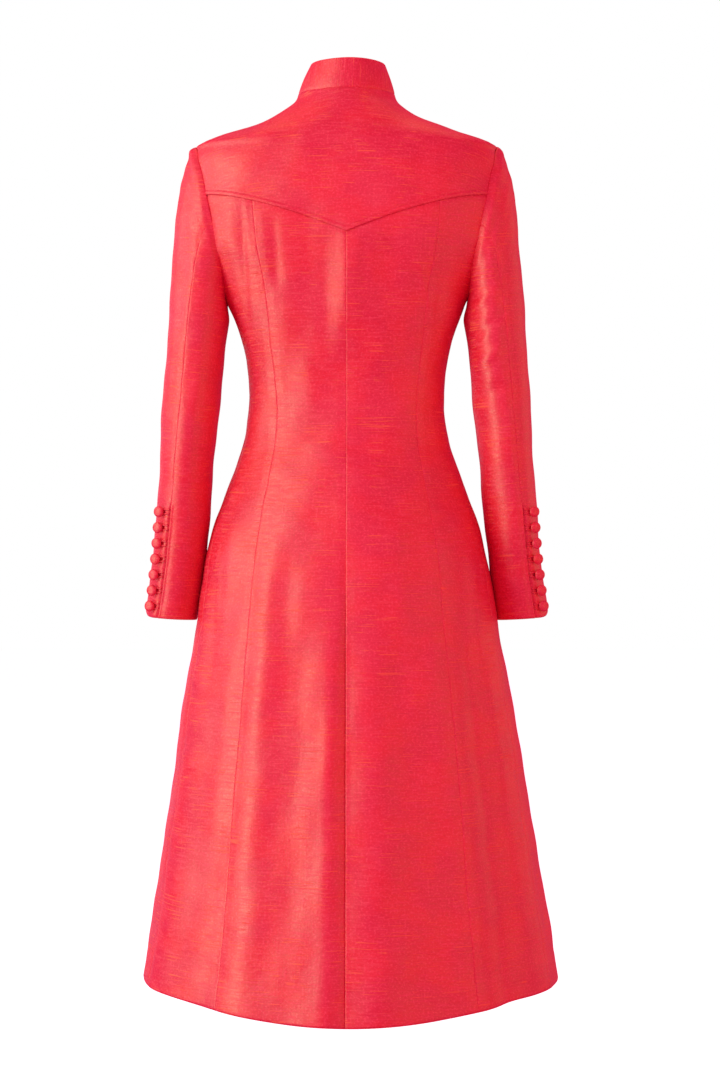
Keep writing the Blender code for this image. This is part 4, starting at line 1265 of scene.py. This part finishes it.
def along_for(turn, height):
    """The place along the sleeve, below the cap, where a line reaches a height."""
    first = SLEEVE_SECTIONS[0][0]
    return 1 + (height - first) / (cuff_height(turn) - first)


def cuff_place(turn, height, rise):
    """A point this far out from the cuff's cloth, and the cloth's direction there."""
    along = along_for(turn, height)
    normal = sleeve_normal(turn, along)
    return sleeve_point(turn, along) + rise * normal, normal


def make_button(node, height, side, index):
    """A covered button turned about its axis: a shank under a domed cap, with faint gathers at the
    rim where the cloth is drawn under."""
    place, normal = cuff_place(np.radians(BUTTON_DEG), np.asarray(height), 0.0)
    place = mirrored(place, side)
    out = normalised(mirrored(normal, side) + BUTTON_TIP * np.array((0.0, -1.0, 0.0)))
    level = normalised(np.cross((0.0, 0.0, 1.0), out))
    upright = np.cross(out, level)
    shares = np.linspace(0, 1, BUTTON_RINGS + 1)[:, None]
    turns = np.linspace(0, 2 * np.pi, BUTTON_SIDES, endpoint=False)[None, :]
    rim = bell(shares - BUTTON_RIM_AT, BUTTON_RIM_WIDTH)
    gathers = BUTTON_GATHER_DEPTH * rim * np.sin(BUTTON_GATHERS * turns + index)
    radius = np.maximum(smooth_curve(BUTTON_PROFILE, 1)(shares) + gathers, BUTTON_CROWN_RADIUS)
    across = radius * np.cos(turns)
    up = radius * np.sin(turns)
    rise = smooth_curve(BUTTON_PROFILE, 2)(shares)[..., None]
    points = place + across[..., None] * level + up[..., None] * upright + rise * out
    places = np.stack([across, up], axis=-1) + np.array(BUTTON_CLOTH_SHIFT) * index
    faces = tube_faces(BUTTON_RINGS + 1, BUTTON_SIDES)
    piece = add_mesh(f"silk_{node}", points, faces, places, silk)
    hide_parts(node)


def loop_route(height):
    """A loop's route on the cuff: from the hindarm seam, half way round the shank and back again.

    Each point is a distance from the button towards the seam and a rise up the sleeve.
    """
    turn = np.radians(BUTTON_DEG)
    edge = hindarm_turn(height)
    ends = sleeve_point(np.array([turn, edge]), along_for(np.array([turn, edge]), height))
    whole = np.linalg.norm(ends[1] - ends[0])
    reach = whole - LOOP_SEAM_CLEAR
    bend = np.linspace(QUARTER_TURN, 3 * QUARTER_TURN, LOOP_STEPS // 2 + 1)
    straight = np.linspace(1, 0, LOOP_STEPS // 4, endpoint=False)
    narrow = LOOP_HALF_SPREAD * (1 - LOOP_NARROWING * straight**2)
    distance = np.concatenate([reach * straight, LOOP_HALF_SPREAD * np.cos(bend), reach * straight[::-1]])
    rise = np.concatenate([narrow, LOOP_HALF_SPREAD * np.sin(bend), -narrow[::-1]])
    turns = turn + (edge - turn) * distance / whole
    return cuff_place(turns, height + rise, LOOP_RISE)


def make_loop(node, height, side, index):
    """A thin rolled loop: a ring of cloth carried along its route, with closed ends."""
    line, normal = (mirrored(vectors, side) for vectors in loop_route(height))
    along = normalised(np.gradient(line, axis=0))
    aside = normalised(np.cross(along, normal))
    out = np.cross(aside, along)
    turns = np.linspace(0, 2 * np.pi, LOOP_SIDES, endpoint=False)
    swing = LOOP_RADIUS * np.cos(turns)[None, :, None]
    rise = LOOP_RADIUS * np.sin(turns)[None, :, None]
    points = line[:, None] + aside[:, None] * swing + out[:, None] * rise
    lengths = lengths_along(line)[:, None]
    places = np.stack(np.broadcast_arrays(lengths, LOOP_RADIUS * turns[None, :]), axis=-1)
    places = places + LOOP_CLOTH_SHIFT * index
    faces = tube_faces(len(line), LOOP_SIDES, flipped=True)
    piece = add_mesh(f"silk_{node}", points, faces, places, silk)
    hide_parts(node)


def make_cuff_fastening(word, side):
    """The row of buttons on one cuff, each with its loop."""
    for number in range(1, BUTTON_COUNT + 1):
        height = BUTTON_TOP - BUTTON_PITCH * (number - 1)
        make_button(f"button_{word}_{number}", height, side, number + 20 * (side + 1))
        make_loop(f"loop_{word}_{number}", height, side, number + 30 * (side + 1))


def make_silk():
    """Slubbed silk on the cloth's own places: crimson and scarlet threads, thin weft slubs of uneven
    length, a few dark ones and nubs, faint warp streaks, and a fine ribbed, grainy surface."""
    material = bpy.data.materials.new("slubbed_silk")
    material.use_nodes = True
    nodes = material.node_tree.nodes
    links = material.node_tree.links
    shader = nodes["Principled BSDF"]
    places = nodes.new("ShaderNodeUVMap")
    places.uv_map = "cloth"

    def noise(across, down, shift, detail):
        mapping = nodes.new("ShaderNodeMapping")
        mapping.inputs["Location"].default_value = (shift, SHIFT_DOWN * shift, 0.0)
        mapping.inputs["Scale"].default_value = (across, down, 1.0)
        links.new(places.outputs["UV"], mapping.inputs["Vector"])
        texture = nodes.new("ShaderNodeTexNoise")
        texture.noise_dimensions = "2D"
        texture.inputs["Scale"].default_value = 1.0
        texture.inputs["Detail"].default_value = detail
        links.new(mapping.outputs["Vector"], texture.inputs["Vector"])
        return texture.outputs["Fac"]

    def stretched(name, low, high, top=1.0):
        ranged = nodes.new("ShaderNodeMapRange")
        ranged.interpolation_type = "SMOOTHSTEP"
        ranged.inputs["From Min"].default_value = low
        ranged.inputs["From Max"].default_value = high
        ranged.inputs["To Max"].default_value = top
        links.new(patterns[name], ranged.inputs["Value"])
        return ranged.outputs["Result"]

    def connect(socket, value):
        if isinstance(value, (float, tuple)):
            socket.default_value = value
        else:
            links.new(value, socket)

    def mixed(factor, first, second):
        mix = nodes.new("ShaderNodeMix")
        mix.data_type = "RGBA"
        links.new(factor, mix.inputs["Factor"])
        connect(mix.inputs["A"], first)
        connect(mix.inputs["B"], second)
        return mix.outputs["Result"]

    def combined(operation, *values):
        maths = nodes.new("ShaderNodeMath")
        maths.operation = operation
        for socket, value in zip(maths.inputs, values):
            connect(socket, value)
        return maths.outputs["Value"]

    def bumped(height, strength, distance):
        bump_node = nodes.new("ShaderNodeBump")
        bump_node.inputs["Strength"].default_value = strength
        bump_node.inputs["Distance"].default_value = distance
        links.new(height, bump_node.inputs["Height"])
        return bump_node

    patterns = {name: noise(*numbers) for name, numbers in SILK_PATTERNS.items()}
    broken = stretched("broken", *BROKEN_SHOWS)
    colour = mixed(stretched("clouds", *CLOUDS_SHOW), SILK_CRIMSON, SILK_SCARLET)
    for name, begins, full, share, thread_colour in SILK_THREADS:
        factor = stretched(name, begins, full, share)
        if name == "long_slub":
            factor = combined("MULTIPLY", factor, broken)
        colour = mixed(factor, colour, thread_colour)
    links.new(colour, shader.inputs["Base Color"])

    long_slub = combined("MULTIPLY", stretched("long_slub", *LONG_SLUB_SHOWS), broken)
    height = combined("MULTIPLY", patterns["weft"], WEFT_RELIEF)
    for name, share in SILK_RELIEF:
        height = combined("MULTIPLY_ADD", patterns[name], share, height)
    height = combined("MULTIPLY_ADD", long_slub, LONG_SLUB_RELIEF, height)
    crumple = bumped(patterns["mottle"], *CRUMPLE_BUMP)
    ribs = bumped(height, *RIB_BUMP)
    links.new(crumple.outputs["Normal"], ribs.inputs["Normal"])
    links.new(ribs.outputs["Normal"], shader.inputs["Normal"])

    rough = combined("ADD", stretched("weft", *WEFT_ROUGHENS, WEFT_ROUGHNESS), SILK_ROUGHNESS)
    rough = combined("MULTIPLY_ADD", stretched("fine", *FINE_SHOWS), FINE_ROUGHNESS, rough)
    rough = combined("MULTIPLY_ADD", long_slub, LONG_SLUB_ROUGHNESS, rough)
    links.new(rough, shader.inputs["Roughness"])
    for socket, value in SILK_SOCKETS.items():
        shader.inputs[socket].default_value = value
    return material


def make_thread():
    """Sewing thread: two colours mottled by a fine noise on Object coordinates."""
    material = bpy.data.materials.new("silk_thread")
    material.use_nodes = True
    nodes = material.node_tree.nodes
    links = material.node_tree.links
    shader = nodes["Principled BSDF"]
    places = nodes.new("ShaderNodeTexCoord")
    texture = nodes.new("ShaderNodeTexNoise")
    texture.inputs["Scale"].default_value = THREAD_MOTTLE
    links.new(places.outputs["Object"], texture.inputs["Vector"])
    mix = nodes.new("ShaderNodeMix")
    mix.data_type = "RGBA"
    mix.inputs["A"].default_value = THREAD_RED
    mix.inputs["B"].default_value = SLUB_ORANGE
    links.new(texture.outputs["Fac"], mix.inputs["Factor"])
    links.new(mix.outputs["Result"], shader.inputs["Base Color"])
    shader.inputs["Roughness"].default_value = THREAD_ROUGHNESS
    return material


def make_surround():
    """The world: soft ambient light on the coat, and white where the camera sees past the floor."""
    world = bpy.data.worlds.new("surround")
    world.use_nodes = True
    nodes = world.node_tree.nodes
    links = world.node_tree.links
    ambient = nodes["Background"]
    ambient.inputs["Color"].default_value = AMBIENT_COLOUR
    ambient.inputs["Strength"].default_value = AMBIENT
    backdrop = nodes.new("ShaderNodeBackground")
    backdrop.inputs["Color"].default_value = WHITE
    path = nodes.new("ShaderNodeLightPath")
    either = nodes.new("ShaderNodeMixShader")
    links.new(path.outputs["Is Camera Ray"], either.inputs["Fac"])
    links.new(ambient.outputs["Background"], either.inputs[1])
    links.new(backdrop.outputs["Background"], either.inputs[2])
    links.new(either.outputs["Shader"], nodes["World Output"].inputs["Surface"])
    bpy.context.scene.world = world


def make_floor():
    """A plain pale floor of white paper, faintly glowing, that casts no light on the coat."""
    corners = FLOOR_HALF * np.array([(-1, -1), (1, -1), (1, 1), (-1, 1)])
    mesh = bpy.data.meshes.new("floor")
    mesh.from_pydata([(x, y, FLOOR_HEIGHT) for x, y in corners], [], [(0, 1, 2, 3)])
    paper = bpy.data.materials.new("white_paper")
    paper.use_nodes = True
    sockets = paper.node_tree.nodes["Principled BSDF"].inputs
    sockets["Base Color"].default_value = PAPER
    sockets["Roughness"].default_value = FLOOR_ROUGHNESS
    sockets["Emission Color"].default_value = WHITE
    sockets["Emission Strength"].default_value = FLOOR_GLOW
    mesh.materials.append(paper)
    floor = add_object("floor", mesh)
    floor.visible_diffuse = False
    floor.visible_glossy = False


def make_lights():
    """Soft rectangular lights, each turned to the middle of the coat."""
    for name, place, width, height, watts, colour in LIGHTS:
        data = bpy.data.lights.new(name, "AREA")
        data.shape = "RECTANGLE"
        data.size = width
        data.size_y = height
        data.energy = watts
        data.color = colour
        light = add_object(name, data)
        aim = np.array(LIGHT_AIM) - np.array(place)
        tilt = np.arccos(-aim[2] / np.linalg.norm(aim))
        light.location = place
        light.rotation_euler = (tilt, 0.0, np.arctan2(aim[1], aim[0]) - QUARTER_TURN)


def make_camera():
    """The camera, level with the middle of the coat behind it."""
    data = bpy.data.cameras.new("camera")
    data.lens = CAMERA_LENS
    data.sensor_width = CAMERA_SENSOR
    camera = add_object("camera", data)
    camera.location = CAMERA_PLACE
    camera.rotation_euler = (QUARTER_TURN, 0.0, 0.0)
    bpy.context.scene.camera = camera
    bpy.context.scene.view_settings.view_transform = "Standard"


silk = make_silk()
thread = make_thread()
make_surround()
make_floor()
make_lights()
make_camera()
make_collar()
make_yoke()
for word, side in SIDES:
    make_centre_back(word, side, 3 + side)
    make_side_back(word, side, 6 + side)
    make_front(word, side, 9 + side)
    make_sleeve_piece(f"top_sleeve_{word}", side, 14 + side, TOP_SLEEVE_COLUMNS, True)
    make_sleeve_piece(f"under_sleeve_{word}", side, 17 + side, UNDER_SLEEVE_COLUMNS, False)
    make_cuff_fastening(word, side)
